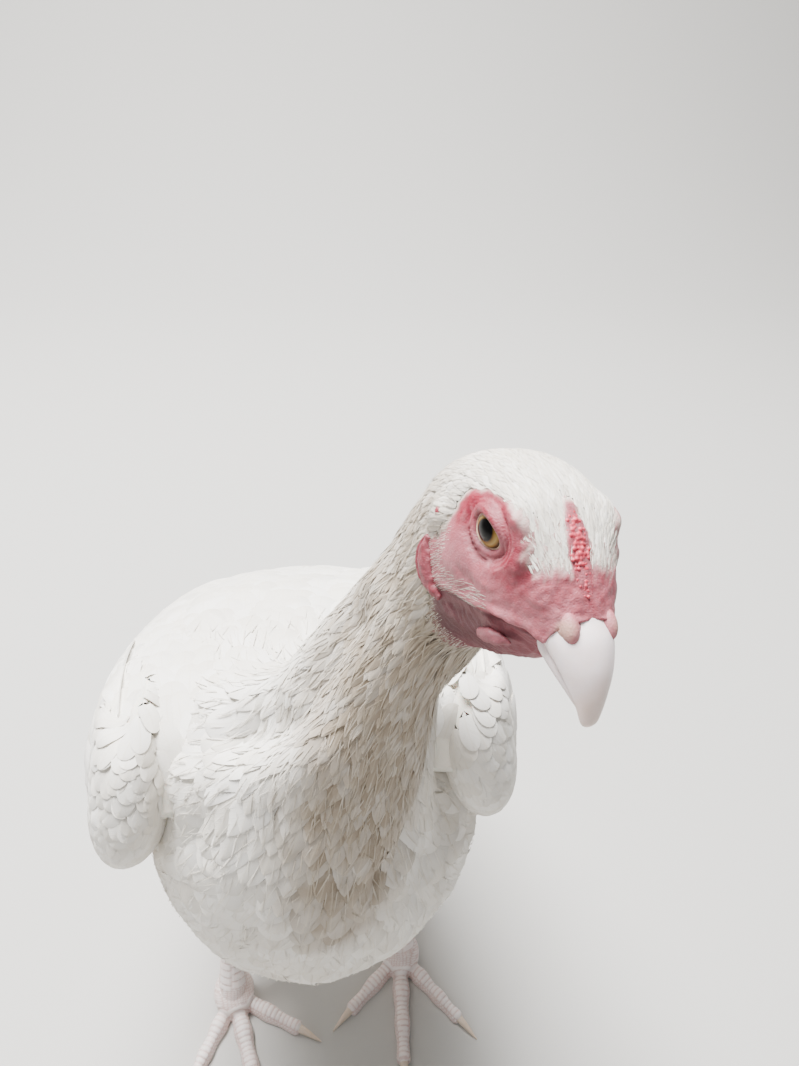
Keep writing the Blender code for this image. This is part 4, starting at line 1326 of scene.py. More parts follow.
def loose_barbs(name, first, last, gap, length, half_width, seed, trees):
    """Thin barbs that have come loose and lie over the feathers, so that the coat looks soft."""
    rng = np.random.default_rng(seed)

    def allowed(u, v, points):
        return bareness(points) < 0.3 + 0.6 * rng.random(len(points))

    u, v = scatter(body, evenly(gap), allowed, seed, row_of(first), row_of(last))
    lengths = length * rng.uniform(0.6, 1.3, len(u))
    turns = rng.normal(0, math.radians(13), len(u))
    paths, outs = paths_over(body, u, v, lengths, turns, 4, BODY_DRAPE)
    share = np.linspace(0, 1, 4)
    paths = paths + outs * (half_width * (3.5 * share - 1.2))[None, :, None]
    seen = ~hidden(paths[:, 0], outs[:, 0], trees)
    paths, outs = paths[seen], outs[seen]
    halves = half_width * rng.uniform(0.6, 1.3, seen.sum())
    batch = vanes(paths, outs, halves, "pointed", seed, body.bake_place(u, v)[seen], dust_and_shade_at(paths), 2,
                  cup=0, thick=0.4 * half_width, roll=20)
    coat_piece(name, batch)


# How far up the feathers of the back face, at least.
BACK_RISE = 0.1


def dress_body():
    """The coat of trunk, neck and crown, with the loose barbs over it."""
    trees = wing_cover()
    trunk = body_tract(0.15, NECK_START - 0.6, 11, "round", 11, trees)
    up, x = trunk["outs"][:, 0, 2], trunk["paths"][:, 0, 0]
    coat_piece("coat_back", grown(trunk, up > BACK_RISE))
    coat_piece("coat_flanks", grown(trunk, (up <= BACK_RISE) & (x > 0)))
    coat_piece("coat_breast", grown(trunk, (up <= BACK_RISE) & (x <= 0)))
    fine = {"fringe": 0.15, "thick": 0.1}
    neck = body_tract(NECK_START - 0.6, HEAD_START + 0.5, 6, "pointed", 12, trees, **fine)
    coat_piece("coat_neck", grown(neck))
    crown = body_tract(HEAD_START + 0.5, LAST_STATION - 0.3, 6, "pointed", 13, trees, roll=1.5, **fine)
    coat_piece("coat_head", grown(crown))
    for row in LOOSE_BARBS:
        loose_barbs(*row, trees)


# Places along the thigh, and the spacing, lengths and half widths of its feathers there.
THIGH_FEATHERS = ((0, 33, 49), (5.8, 5, 2.6), (26, 22, 12), (6.6, 5.4, 2.4))


def dress_thighs():
    """The feathers of the thighs, down to where the scales start."""
    for word, side in SIDES.items():

        def allowed(u, v, points):
            inner = (points[:, 0] * side < 22) & (points[:, 2] > 130)
            return (u > 1) & ~inner

        batch = small_feathers(THIGHS[word], THIGH_FEATHERS, allowed, (31, 31), THIGH_DEPTH, wobble=6,
                               lift=0.1, loose=True)
        coat_piece(f"coat_thigh_{word}", batch)


# The folded wing, left side: top edge, lower edge and thickness from the wrist to the tip.
WING = (
    ((64, -68, 252), (66, -72, 232), 14),
    ((68, -54, 266), (76, -60, 212), 26),
    ((70, -28, 270), (81, -36, 196), 30),
    ((69, 8, 258), (82, 0, 182), 27),
    ((64, 44, 244), (78, 34, 171), 21),
    ((57, 80, 224), (70, 72, 161), 14),
    ((49, 112, 198), (58, 106, 151), 9),
    ((42, 138, 172), (47, 134, 146), 5),
)
# Rows that round the wrist off in front of the first.
WRIST = (((62, -77, 244), (62.5, -78, 240), 2), ((63, -74, 249), (64.5, -76.5, 235), 8))
# Rows made from each to the next, and points round each.
WING_STEPS, WING_SIDES = 6, 96
# Thickness of the wing towards the body as a share of the rest, at the wrist and at the tip.
INNER_SHARES = (1.5, 0.5)
# How far each wing lies from the table.
WING_SHIFTS = {"left": (-9, 8, 5), "right": (-5, 0, 0)}
WRIST_ROWS = len(WRIST) * WING_STEPS
# Tiers of the wing's large feathers, first to last, as shares of the wing's length and of its height
# from the top: count, roots, tips, half widths, depths under the surface at root and tip, stretches.
WING_TIERS = {
    "primaries": (9, (0.16, 0.7), (0.22, 0.6), (0.86, 0.97), (1.0, 0.62), (7.0, 7.5), (9, 5), 34),
    "secondaries": (15, (0.2, 0.75), (0.4, 0.14), (0.78, 0.97), (0.97, 0.26), (8.5, 9.5), (6.5, 1.4), 30),
    "greater_coverts": (14, (0.14, 0.78), (0.3, 0.08), (0.46, 0.92), (0.66, 0.16), (7.2, 8.2), (5, 0.2), 16),
    "median_coverts": (13, (0.09, 0.8), (0.17, 0.06), (0.3, 0.9), (0.44, 0.1), (6.6, 7.6), (3.5, -0.6), 12),
}


def wing_rows(word):
    """The wing from its wrist to its tip, shifted to where this one lies."""
    rows = catmull(table_rows(WRIST + WING), WING_STEPS)
    rows[:, :6] += np.tile(WING_SHIFTS[word], 2)
    return rows


def wing_outlines(count):
    """Outlines of the folded wing, from the wrist to the tip, with INNER_SHARES towards the body."""
    outline = np.repeat(round_outline(WING_SIDES)[None], count, 0)
    inner = 0.5 * np.interp(np.linspace(0, 1, count), (0.1, 0.7), INNER_SHARES)[:, None]
    outline[..., 0] *= np.where(outline[..., 0] < 0, 0.5, inner)
    return outline


def wing_sheet(word, side):
    """The wing's outer face, all round."""
    rows = wing_rows(word)
    return Sheet(rings_of(rows, wing_outlines(len(rows))), 1, side)


def wing_spots(rows, along, down, depth):
    """Points this deep under the wing's outer face, and the way out of the face there."""
    place = np.clip(along, 0, 1) * (len(rows) - 1 - WRIST_ROWS) + WRIST_ROWS
    row = read_at(place, np.arange(len(rows)), rows)
    top, low = row[..., 0:3], row[..., 3:6]
    out = unit(np.cross(low - top, rows[-1, 0:3] - rows[WRIST_ROWS, 0:3]))
    out = out * np.sign(out[..., :1])
    bulge = row[..., 6] / 2 * np.sqrt(np.maximum(0, 1 - (2 * down - 1) ** 2))
    return top + (low - top) * down[..., None] + out * (bulge - depth)[..., None], out


# The front of the folded wing, where its feathers hang: height, middle (x, y) and half sizes (x, y).
WING_FRONT = (
    (273, 68, -40, 1.5, 5), (271, 67, -40, 10, 19), (264, 67, -40, 14, 29), (252, 68, -43, 15.5, 33),
    (240, 70, -44.5, 15.5, 34.5), (228, 72.5, -43.5, 15.5, 32.5), (216, 75, -41, 14.5, 28),
    (205, 76.8, -38.5, 11, 21), (197, 77.8, -37, 7.5, 14), (192, 78.5, -36, 4, 7),
    (190.5, 78.5, -36, 1, 2),
)
# Depth of the feathers over the skin there.
FRONT_DEPTH = 2.4


def wing_front_sheet(word, side):
    """The front of the wing as a sheet that runs downwards, from the shoulder to the lower edge."""
    table = np.array(WING_FRONT, float)
    table[:, 1:3] += WING_SHIFTS[word][:2]
    table[:, 0] += WING_SHIFTS[word][2]
    high, x, y, half_x, half_y = table.T
    rows = np.stack([x, y + half_y, high, x, y - half_y, high, half_x], -1)
    return Sheet(rings_of(catmull(rows, 7), round_outline(WING_SIDES)), 1, side)


def front_feathers(word, side):
    """Small feathers that hang over the front of the wing and turn back as they go down."""
    sheet = wing_front_sheet(word, side)
    # Rows down the front, and the spacing, lengths and half widths of the feathers there.
    table = ((0, 20, 45, sheet.rows - 1), (3.0, 3.2, 2.9, 2.3), (13, 15, 12.5, 8.5), (3.4, 3.9, 3.4, 2.5))

    def allowed(u, v, points):
        inside = points[:, 0] * side < 64 + WING_SHIFTS[word][0]
        return ~(inside & (points[:, 1] > -52)) & (u > 1.5)

    return small_feathers(sheet, table, allowed, (45, 46), FRONT_DEPTH, turn=24 * side, wobble=6, uneven=0.08)


# Share of the wing's length that the small coverts take up, and their depth over the skin.
COVERTS_END, COVERTS_DEPTH = 0.36, 2.2
# The wing's core: rows of it that the front hides, and the share of the rows where it ends.
CORE_START, CORE_END = 8, 0.7


def dress_wing(word, side):
    """A thin core of skin, the tiers of large feathers and the small coverts of the shoulder."""
    rows = wing_rows(word)
    sheet = wing_sheet(word, side)
    flip = np.array([side, 1, 1])
    rng = np.random.default_rng(41)
    batches = {}
    for tier, (count, root_a, root_b, tip_a, tip_b, widths, depths, stretches) in WING_TIERS.items():
        share = np.linspace(0, 1, count)[:, None]
        jitter = rng.normal(0, 0.006, (count, 2))
        roots = np.array(root_a) + (np.array(root_b) - root_a) * share
        tips = np.array(tip_a) + (np.array(tip_b) - tip_a) * share + jitter
        t = np.linspace(0, 1, stretches + 1)[None, :, None]
        at = roots[:, None] * (1 - t) + tips[:, None] * t
        depth = depths[0] + (depths[1] - depths[0]) * t[..., 0] ** 1.3 + np.zeros((count, 1))
        paths, outs = wing_spots(rows, at[..., 0], at[..., 1], depth)
        ways = unit(np.gradient(paths, axis=1))
        # Large feathers lean on the next one of their tier, more so towards their tips.
        tilt = np.radians(8 + 8 * t)
        outs = outs * np.cos(tilt) + unit(np.cross(outs, ways)) * np.sin(tilt)
        halves = np.interp(share[:, 0], (0, 1), widths)
        bake = np.stack([0.75 - 0.25 * roots[:, 1], roots[:, 0]], -1)
        paths, outs = paths * flip, outs * flip
        batches[tier] = vanes(paths, outs, halves, "flight", 42, bake, dust_and_shade_at(paths), stretches,
                              cup=0.12, fringe=0.01, thick=0.5, roll=1.0)
    flights = joined([batches["primaries"], batches["secondaries"]])
    coat_piece(f"wing_{word}_flights", flights, f"wing_{word}")
    coat_piece(f"wing_{word}_coverts", joined([batches["greater_coverts"], batches["median_coverts"]]))
    outer = (sheet.rows - 1 - WRIST_ROWS) * COVERTS_END + WRIST_ROWS
    table = ((0, WRIST_ROWS, outer), (2.4, 3.4, 5.0), (9, 15, 24), (2.4, 3.8, 6.0))

    def allowed(u, v, points):
        return points[:, 1] > -54 + WING_SHIFTS[word][1]

    small = small_feathers(sheet, table, allowed, (43, 44), COVERTS_DEPTH, rng, drape=0.3, last=outer)
    coat_piece(f"wing_{word}_small_coverts", joined([small, front_feathers(word, side)]))
    # The core is thinner towards the tip, where the flights alone make the wing.
    core = rows.copy()
    share = np.clip((np.linspace(0, 1, len(rows)) - 0.25) / 0.5, 0, 1)
    middle = row_middles(core)
    core[:, 0:3] += (middle - core[:, 0:3]) * (0.03 + 0.6 * share)[:, None]
    core[:, 3:6] += (middle - core[:, 3:6]) * (0.05 + 0.6 * share)[:, None]
    core[:, 6] *= 0.9 - 0.7 * share
    grid = rings_of(core, wing_outlines(len(core)))[WRIST_ROWS + CORE_START : int(len(core) * CORE_END)]
    piece = grid_piece(f"wing_{word}_skin", grid * flip)
    unite(piece, [grid_piece("front", under(wing_front_sheet(word, side), FRONT_DEPTH))])
    put_values(piece, face_colours(mesh_points(piece)))
    settle(piece, SKIN, "skin")


# The root of the tail, like the stations of the trunk.
TAIL = (
    ((0, 152.3, 171.7), (0, 146.3, 151.7), 12), ((0, 163, 163), (0, 155, 145), 12.5),
    ((0, 176, 152), (0, 169, 139), 11), ((0, 188, 141), (0, 184, 134), 7),
)
# Where its fans start, their slope, how far each pair rolls, in degrees, and the depth of the root's coat.
TAIL_ROOT, TAIL_SLOPE, TAIL_ROLL, TAIL_DEPTH = (0, 156, 157), -38, 5, 2.5
# Fans of tail feathers: pairs, length, half width, spread in degrees, drop from pair to pair, lift.
TAIL_TIERS = ((7, 108, 11, 4.0, 1.6, 0), (4, 64, 9, 6, 1.2, 5), (4, 46, 8, 8, 1.2, 9))


def dress_tail():
    """The fans of tail feathers, and the small feathers over their roots."""
    stretches = 30
    share = np.linspace(0, 1, stretches + 1)
    slope = Matrix.Rotation(math.radians(TAIL_SLOPE), 3, "X")
    batches = []
    for pairs, length, half_width, spread, drop, lift in TAIL_TIERS:
        paths, outs = [], []
        for i in range(pairs):
            for side in (1, -1):
                turn = math.radians(spread * (i + 0.35))
                fan = np.array(slope @ Matrix.Rotation(-turn * side, 3, "Z"))
                way = fan @ (0, 1, 0)
                up = unit(fan @ (math.tan(math.radians(TAIL_ROLL * i)) * side, 0, 1))
                start = np.array(TAIL_ROOT) + up * (lift * 0.6 - drop * i + drop / 4 * side)
                start = start + (side * (0.45 * half_width + 0.9 * i), 0, 0)
                reach = length * (1 - 0.03 * i)
                bow = np.array([0, 0, lift * 0.35 + 2])
                paths.append(start + np.outer(share * reach, way) + np.outer(np.sin(np.pi * share), bow))
                outs.append(np.tile(up, (len(share), 1)))
        paths, outs = np.array(paths), np.array(outs)
        halves = np.full(len(paths), float(half_width))
        bake = np.stack([np.linspace(0.1, 0.9, len(paths)), np.full(len(paths), 0.02 + lift * 0.01)], -1)
        batches.append(vanes(paths, outs, halves, "flight", 51, bake, dust_and_shade_at(paths), stretches,
                             cup=0.1, fringe=0.01, thick=0.5, roll=1.0))
    coat_piece("tail_feathers", joined(batches), "tail")
    # Places along the root, and the same spacing, lengths and half widths all along.
    table = ((0, 1), (5.5, 5.5), (30, 30), (5.5, 5.5))
    batch = small_feathers(tail_root, table, lambda u, v, points: u < 16, (52, 53), TAIL_DEPTH, wobble=6,
                           uneven=2 / 30)
    coat_piece("coat_tail_root", batch)


# The shoulder feathers bridge the gap between the back and each folded wing: how far along the wing they
# go, their depth, the rows of the bridge and the points over its top.
MANTLE_END, MANTLE_DEPTH, MANTLE_ROWS, MANTLE_TOP = 0.86, 2.5, 60, 32


def mantle_sheet(word, side):
    """A pad from the back over the wing's upper edge, closed underneath."""
    corners = [tuple(p) for p in body.points.reshape(-1, 3)]
    i, j = np.meshgrid(np.arange(body.rows - 1), np.arange(body.columns), indexing="ij")
    k = (j + 1) % body.columns
    cells = np.stack([i, j, i + 1, j, i + 1, k, i, k], -1).reshape(-1, 4, 2)
    faces = (cells[..., 0] * body.columns + cells[..., 1]).tolist()
    tree = bvhtree.BVHTree.FromPolygons(corners, faces)
    rows = wing_rows(word)
    shares = np.linspace(0.02, MANTLE_END, MANTLE_ROWS)
    grid = []
    for share in shares:
        place = share * (len(rows) - 1 - WRIST_ROWS) + WRIST_ROWS
        top = read_at(place, np.arange(len(rows)), rows[:, :3])
        depth = np.interp(share, (0.05, 0.25), (1.0, 3.2))
        low, _ = wing_spots(rows, np.array(share), np.array(0.32), depth)
        edge, _ = wing_spots(rows, np.array(share), np.array(0.12), -0.8)
        points = [low, edge, top + (-3, 0, 1.5)]
        for inward, lift in ((0.66, 1.4), (0.4, -1.6)):
            x = top[0] * inward
            hit = tree.ray_cast(Vector((side * x, top[1], 400)), Vector((0, 0, -1)))[0]
            points.append(np.array((x, top[1], min(hit[2] + lift, top[2] + 4))))
        ends = 1 - smooth_step(0, 0.12, share) + smooth_step(MANTLE_END - 0.14, MANTLE_END, share)
        arc = catmull(np.array(points), MANTLE_TOP // (len(points) - 1)) - (0, 0, 5.0 * ends)
        grid.append(np.vstack([arc, arc[-2:0:-3] - (0, 0, 9)]))
    return Sheet(np.array(grid), 1, side)


def dress_mantle(word, side):
    """The shoulder feathers over one wing's upper edge."""
    table = ((0, 20, 59), (4.8, 4.8, 4.8), (16, 26, 34), (4.6, 6.4, 7.4))

    def allowed(u, v, points):
        return (v > 0.5) & (v < MANTLE_TOP - 2.5) & (u < MANTLE_ROWS - 5)

    batch = small_feathers(MANTLES[word], table, allowed, (47, 48), MANTLE_DEPTH, turn=-9 * side,
                           lift=0.02, stations=9)
    coat_piece(f"coat_mantle_{word}", batch)


MANTLES = {word: mantle_sheet(word, side) for word, side in SIDES.items()}
tail_root = Sheet(rings_of(catmull(table_rows(TAIL), 8), round_outline(48)), 1)

dress_body()
dress_thighs()
for side_word, side_sign in SIDES.items():
    dress_mantle(side_word, side_sign)
for side_word, side_sign in SIDES.items():
    dress_wing(side_word, side_sign)
dress_tail()


def raw_points(obj):
    """The object's points as they are in its mesh."""
    return np.array([v.co for v in obj.data.vertices])


def shaped_ball(name, centre, sizes, tilt=0.0, segments=48):
    """A ball stretched in the head's frame, and tilted in its length."""
    bpy.ops.mesh.primitive_uv_sphere_add(segments=segments, ring_count=segments * 2 // 3, radius=1)
    made = bpy.context.object
    made.name = name
    turn = np.array(Matrix.Rotation(tilt, 3, "Y"))
    move_points(made, from_head((raw_points(made) * sizes) @ turn.T + centre))
    return made


def join(name, pieces):
    """The pieces as one object of this name."""
    bpy.ops.object.select_all(action="DESELECT")
    for piece in pieces:
        piece.select_set(True)
    bpy.context.view_layer.objects.active = pieces[0]
    bpy.ops.object.join()
    made = bpy.context.object
    made.name = name
    made.data.name = name
    bpy.ops.object.select_all(action="DESELECT")
    return made


def remeshed(obj, voxel_mm, smoothing=2):
    """One closed skin round all of the object's parts."""
    step = obj.modifiers.new("fuse", "REMESH")
    step.mode = "VOXEL"
    step.voxel_size = voxel_mm * MM
    soft = obj.modifiers.new("soften", "SMOOTH")
    soft.iterations = smoothing
    soft.factor = 0.5
    apply_all(obj)
    obj.data.shade_smooth()
    return obj


def crown_height(x):
    """Height of the head's dorsal line over x, in the head's frame."""
    line = sorted(d for d, _, _ in HEAD)
    return np.interp(x, [d[0] for d in line], [d[1] for d in line])


# The comb's beads: from where to where along the brow, and the gaps along it and across it.
COMB_START, COMB_END, BEAD_GAP, BEAD_GAP_ACROSS = 0.6, 21.5, 0.95, 1.05
# Fineness of the comb's mesh, in millimetres.
COMB_VOXEL = 0.24


def make_comb():
    """A pea comb: small beads over a low ridge, fused to one skin."""
    rng = np.random.default_rng(61)
    beads = []
    for row, x in enumerate(np.arange(COMB_START, COMB_END, BEAD_GAP)):
        width = np.interp(x, *np.transpose(COMB_LINE))
        first = -width + 0.5 * (row % 2)
        places = np.arange(first, width + 0.01, BEAD_GAP_ACROSS) if width > 0.8 else [0]
        for y in places:
            radius = rng.uniform(0.45, 0.72) * (1.0 if x < 16 else 0.85)
            drop = 0.1 * abs(y) + 0.1 - 0.3 * math.exp(-(((x - 9) / 6) ** 2)) + rng.uniform(0, 0.35)
            side = y + COMB_MIDDLE + rng.normal(0, 0.15)
            spot = (x + rng.normal(0, 0.2), side, crown_height(x) - drop)
            bpy.ops.mesh.primitive_ico_sphere_add(subdivisions=2, radius=radius * MM)
            bead = bpy.context.object
            place = Matrix.Translation(Vector((from_head(spot) - BOX_MIDDLE) * MM))
            bead.data.transform(place @ bead.matrix_world)
            bead.matrix_world = Matrix()
            beads.append(bead)
    ridge = shaped_ball("ridge", (10, COMB_MIDDLE, 1.0), (11.5, 2.2, 3.4), math.radians(22))
    comb = remeshed(join("comb_beads", [*beads, ridge]), COMB_VOXEL, 1)
    settle(comb, COMB, "comb", "comb")


# Folds of skin on the side of the head: points of the line, half widths and half thicknesses.
LOBE = (
    ((-17.8, 18.0, -19.0), 1.0, 0.8), ((-16.8, 18.3, -22.5), 2.3, 1.5), ((-14.0, 18.2, -26.0), 2.9, 1.7),
    ((-10.2, 17.8, -28.4), 2.4, 1.4), ((-5.2, 16.6, -29.4), 0.8, 0.7),
)
LOBE_RIM = (
    ((-18.8, 18.0, -20.0), 0.5, 0.6), ((-18.6, 18.6, -23.6), 0.8, 1.0), ((-15.8, 18.5, -28.0), 0.9, 1.2),
    ((-11.4, 17.6, -30.4), 0.7, 0.9), ((-7.4, 15.6, -30.6), 0.3, 0.4),
)
WATTLE = (
    ((8.6, 13.2, -25.6), 0.5, 0.5), ((10.8, 14.0, -24.0), 1.5, 1.1), ((13.6, 14.0, -21.8), 1.8, 1.3),
    ((16.2, 13.2, -20.2), 1.4, 1.0), ((18.4, 11.8, -19.2), 0.4, 0.4),
)


def skin_fold(name, table, side, rough=0.25):
    """A soft ridge of skin along a line in the head's frame."""
    rows = np.array([[*place, width, thickness] for place, width, thickness in table], float)
    rows = catmull(rows, 10)
    line, widths = rows[:, 0:3], np.maximum(rows[:, 3:4], 0.2)
    across = unit(np.cross(np.gradient(line, axis=0), (0, 1, 0))) * widths
    tops, lows = (line + across) * (1, side, 1), (line - across) * (1, side, 1)
    spans = np.column_stack([from_head(tops), from_head(lows), np.maximum(rows[:, 4], 0.2)])
    grid = rings_of(spans, round_outline(32))
    outward = unit(grid - grid.mean(1, keepdims=True))
    return grid_piece(name, grid + outward * (noise_at(grid, 1.6) * rough)[..., None])


def make_folds():
    """Red earlobes behind the cheeks and small wattles under the jaw."""
    for word, side in SIDES.items():
        parts = [skin_fold("lobe", LOBE, side, 0.5), skin_fold("rim", LOBE_RIM, side)]
        lobe = join(f"ear_lobe_{word}", parts)
        bud = skin_fold(f"wattle_bud_{word}", WATTLE, side)
        # The lobes and wattle buds are darkened all over with painted shade.
        for piece, blood, dusk, cad in ((lobe, 0.7, 0.42, "earlobe"), (bud, 0.3, 0.45, "wattle")):
            piece.data.shade_smooth()
            ones = np.ones(len(piece.data.vertices))
            put_values(piece, {"bare": ones, "blood": blood * ones, "dusk": dusk * ones})
            settle(piece, SKIN, "comb", f"{cad}_{word}")


# Half thickness of the lids' rim, and how far it stands over the eyeball.
LID_RIM, LID_RIM_RISE = 0.3, 0.12


def make_lid(name, side):
    """The smooth rim of the lids, a soft ring round the opening, pale below and darkened with painted shade
    above.
    """
    centre, look, ahead, up, shift = eye_axes(side)
    bpy.ops.mesh.primitive_torus_add(major_segments=96, minor_segments=14, major_radius=1,
                                     minor_radius=LID_RIM)
    rim = bpy.context.object
    rim.name = name
    points = raw_points(rim)
    turn = np.arctan2(points[:, 1], points[:, 0])[:, None]
    oval = np.cos(turn) * ahead / LID_STRETCH[0] + np.sin(turn) * up / LID_STRETCH[1]
    flat = oval * LID_OPENING
    thick = 1 + 0.25 * np.sin(turn)
    outward = unit(oval) * (np.hypot(points[:, :1], points[:, 1:2]) - 1) * thick
    high = eye_height(flat, side)[:, None] + LID_RIM_RISE + points[:, 2:] * thick
    move_points(rim, centre + shift + flat + outward + high * look)
    ones = np.ones(len(points))
    # Painted shade: the rim is darkened towards its top, under the brow, and pale towards its bottom.
    lower = 0.5 - 0.5 * np.sin(turn[:, 0])
    shades = {"blood": 0.35 * ones, "dusk": 0.65 - 0.6 * lower, "lid": 0.25 + 0.6 * lower}
    put_values(rim, {"bare": ones, **shades})
    settle(rim, SKIN, "skin")


def make_eyes():
    """The eyeballs, with a map from each point to its place in the iris, and the rims of the lids."""
    for word, side in SIDES.items():
        centre, look = eye_axes(side)[:2]
        turn = Vector(look).to_track_quat("Z", "Y").to_matrix()
        bpy.ops.mesh.primitive_uv_sphere_add(segments=64, ring_count=64, radius=EYE_RADIUS)
        eye = bpy.context.object
        eye.name = f"eyeball_{word}"
        points = raw_points(eye)
        radius = np.hypot(points[:, 0], points[:, 1])
        front = points[:, 2] > 0
        angle = np.arctan2(points[:, 1], points[:, 0]) / (2 * np.pi) + 0.5
        loops = np.zeros(len(eye.data.loops), np.int32)
        eye.data.loops.foreach_get("vertex_index", loops)
        uv = np.stack([angle, np.where(front, radius, EYE_RADIUS) * MM], -1)
        eye.data.uv_layers[0].name = "iris"
        eye.data.uv_layers["iris"].data.foreach_set("uv", uv[loops].astype(np.float32).ravel())
        points[:, 2] += np.where(front, cornea_height(radius), 0)
        move_points(eye, points @ np.array(turn).T + centre)
        settle(eye, EYE, "eye", f"eye_{word}")
        make_lid(f"lid_rim_{word}", side)


# Stations of the beak's horn, like those of the head.
BEAK_UPPER = (
    ((22.5, -3.4), (21.5, -12.2), 8.6), ((24.95, -4.5), (23.9, -13.0), 8.9),
    ((29.6, -6.3), (28.5, -14.5), 7.7), ((34.4, -10.3), (33, -17), 5.9),
    ((38, -15.5), (36.6, -19.8), 3.9), ((39.9, -19.8), (38.9, -22.3), 2.7),
    ((40.5, -21.8), (39.8, -23.2), 2.0), ((40.55, -22.8), (40.15, -23.6), 1.1),
    ((40.4, -23.5), (40.3, -23.7), 0.3),
)
BEAK_LOWER = (
    ((21.5, -12.8), (21, -18.7), 8.2), ((23.8, -13.6), (23, -19.1), 8.3), ((28.3, -15.1), (28, -20), 7),
    ((32.8, -17.6), (32.4, -21), 4.9), ((36, -20.4), (35.8, -22.2), 2.6),
    ((37.6, -22.0), (37.5, -22.8), 0.8),
)


def flat_outline(sides, bottom=True, level=0.3):
    """A ring whose lower side, or upper side, is flat."""
    made = round_outline(sides)
    height = np.maximum(made[:, 1], -level)
    made[:, 1] = (height + level) / (1 + level) * 2 - 1
    if not bottom:
        made[:, 1] *= -1
    return made


def make_beak():
    """The horn of both halves of the beak, more worn towards the tip."""
    for name, table, bottom, cad in (
        ("horn_upper", BEAK_UPPER, True, "beak_upper"),
        ("horn_lower", BEAK_LOWER, False, "beak_lower"),
    ):
        rows = catmull(head_rows(table), 8)
        piece = grid_piece(name, rings_of(rows, flat_outline(64, bottom)))
        at = to_head(mesh_points(piece))
        put_values(piece, {"wear": 0.1 + 0.55 * smooth_step(32, 42, at[:, 0])})
        settle(piece, HORN, "beak", cad)


skin_sheet = make_skin()
make_comb()
make_folds()
make_eyes()
make_beak()


def face_bristles():
    """White bristles on the bare face, sparse round the eye and thick on the cheek and the jaw."""
    rng = np.random.default_rng(71)

    def allowed(u, v, points):
        at = to_head(points)
        x, y, z = at.T
        above, bare = -below_mouth(at), bareness(points)
        cheek = smooth_step(-0.5, 1, above) * smooth_step(9.5, 5, above) * smooth_step(24, 16, x)
        rear = smooth_step(-5, -11, x) * smooth_step(-6, -11, z)
        thick = 0.3 + 0.5 * np.maximum.reduce([cheek, rear, smooth_step(0.95, 0.6, bare)])
        off_eye = np.hypot(x - EYE_CENTRE[0], z - EYE_CENTRE[2]) > 6.8
        free = off_eye & (x < 23.5) & (abs(y) > 3.5)
        return (bare > 0.2) & free & (rng.random(len(points)) < thick)

    u, v = scatter(skin_sheet, evenly(0.7), allowed, 71, row_of(HEAD_START - 0.5))
    lengths = rng.uniform(2.2, 4.8, len(u))
    turns = rng.normal(0, math.radians(6), len(u))
    paths, outs = paths_over(skin_sheet, u, v, lengths, turns, 4, 0.25)
    share = np.linspace(0, 1, 4)
    paths = paths + outs * (0.45 * share - 0.15)[None, :, None]
    halves = rng.uniform(0.025, 0.05, len(u))
    batch = vanes(paths, outs, halves, "pointed", 72, skin_sheet.bake_place(u, v), 0.35, 2,
                  thick=0.08, roll=20)
    coat_piece("face_bristles", batch)


face_bristles()


def toe_rows(word, name):
    """Rows of one toe, the point where it ends and the way it heads."""
    heading, length, root, tip, joints = TOES[name]
    turn = math.radians(heading + FOOT_TURNS[word])
    way = np.array([-math.sin(turn), -math.cos(turn), 0])
    start = np.array([FOOT_PAD[0], FOOT_PAD[1] + FOOT_SHIFTS[word], 0])
    rows = []
    for share in np.linspace(0, 1, JOINT_ROWS * joints):
        radius = root + (tip - root) * share
        radius *= 1 + JOINT_SWELLING * math.cos(2 * math.pi * joints * share)
        at = start + way * (TOE_START + length * share)
        rows.append([*(at + [0, 0, TOE_HEIGHT * radius]), *at, radius])
    # Two rows round the toe's end off: how far on, their top and bottom, and their half width.
    for ahead, top, low, width in ((1.0, 1.6 * tip, 0, 0.88 * tip), (1.6, 1.35 * tip, 0.3, 0.66 * tip)):
        end = at + way * ahead
        rows.append([*(end + [0, 0, top]), *(end + [0, 0, low]), width])
    return np.array(rows), at, way


# Rows of a honeycomb are this share of its pitch apart, and the scales' middles stray by JITTER of it.
HONEYCOMB, JITTER = 0.87, 0.08


def cells_depth(places, pitch, seed):
    """Distance from the nearest crease in a pattern of cells this far apart."""
    rng = np.random.default_rng(seed)
    low, high = places.min(0) - pitch, places.max(0) + pitch
    x, y = np.meshgrid(np.arange(low[0], high[0], pitch), np.arange(low[1], high[1], pitch * HONEYCOMB))
    x = x + (np.arange(x.shape[0])[:, None] % 2) * pitch / 2
    seeds = np.stack([x.ravel(), y.ravel()], -1) + rng.normal(0, pitch * JITTER, (x.size, 2))
    tree = kdtree.KDTree(len(seeds))
    for i, (a, b) in enumerate(seeds):
        tree.insert((a, b, 0), i)
    tree.balance()
    made = []
    for a, b in places:
        found = tree.find_n((a, b, 0), 2)
        made.append((found[1][2] - found[0][2]) / 2)
    return np.array(made)


# Plates of the shank and of the toes: how far round they reach in radians, and their length.
SHANK_PLATES, TOE_PLATES = (1.25, 4.4), (1.05, 2.6)
# Distance between the small scales, how high plates and scales rise, and how soft their edges are.
SMALL_SCALE, PLATE_RISE, SCALE_RISE, SCALE_EDGE = 1.9, 0.42, 0.26, 0.42


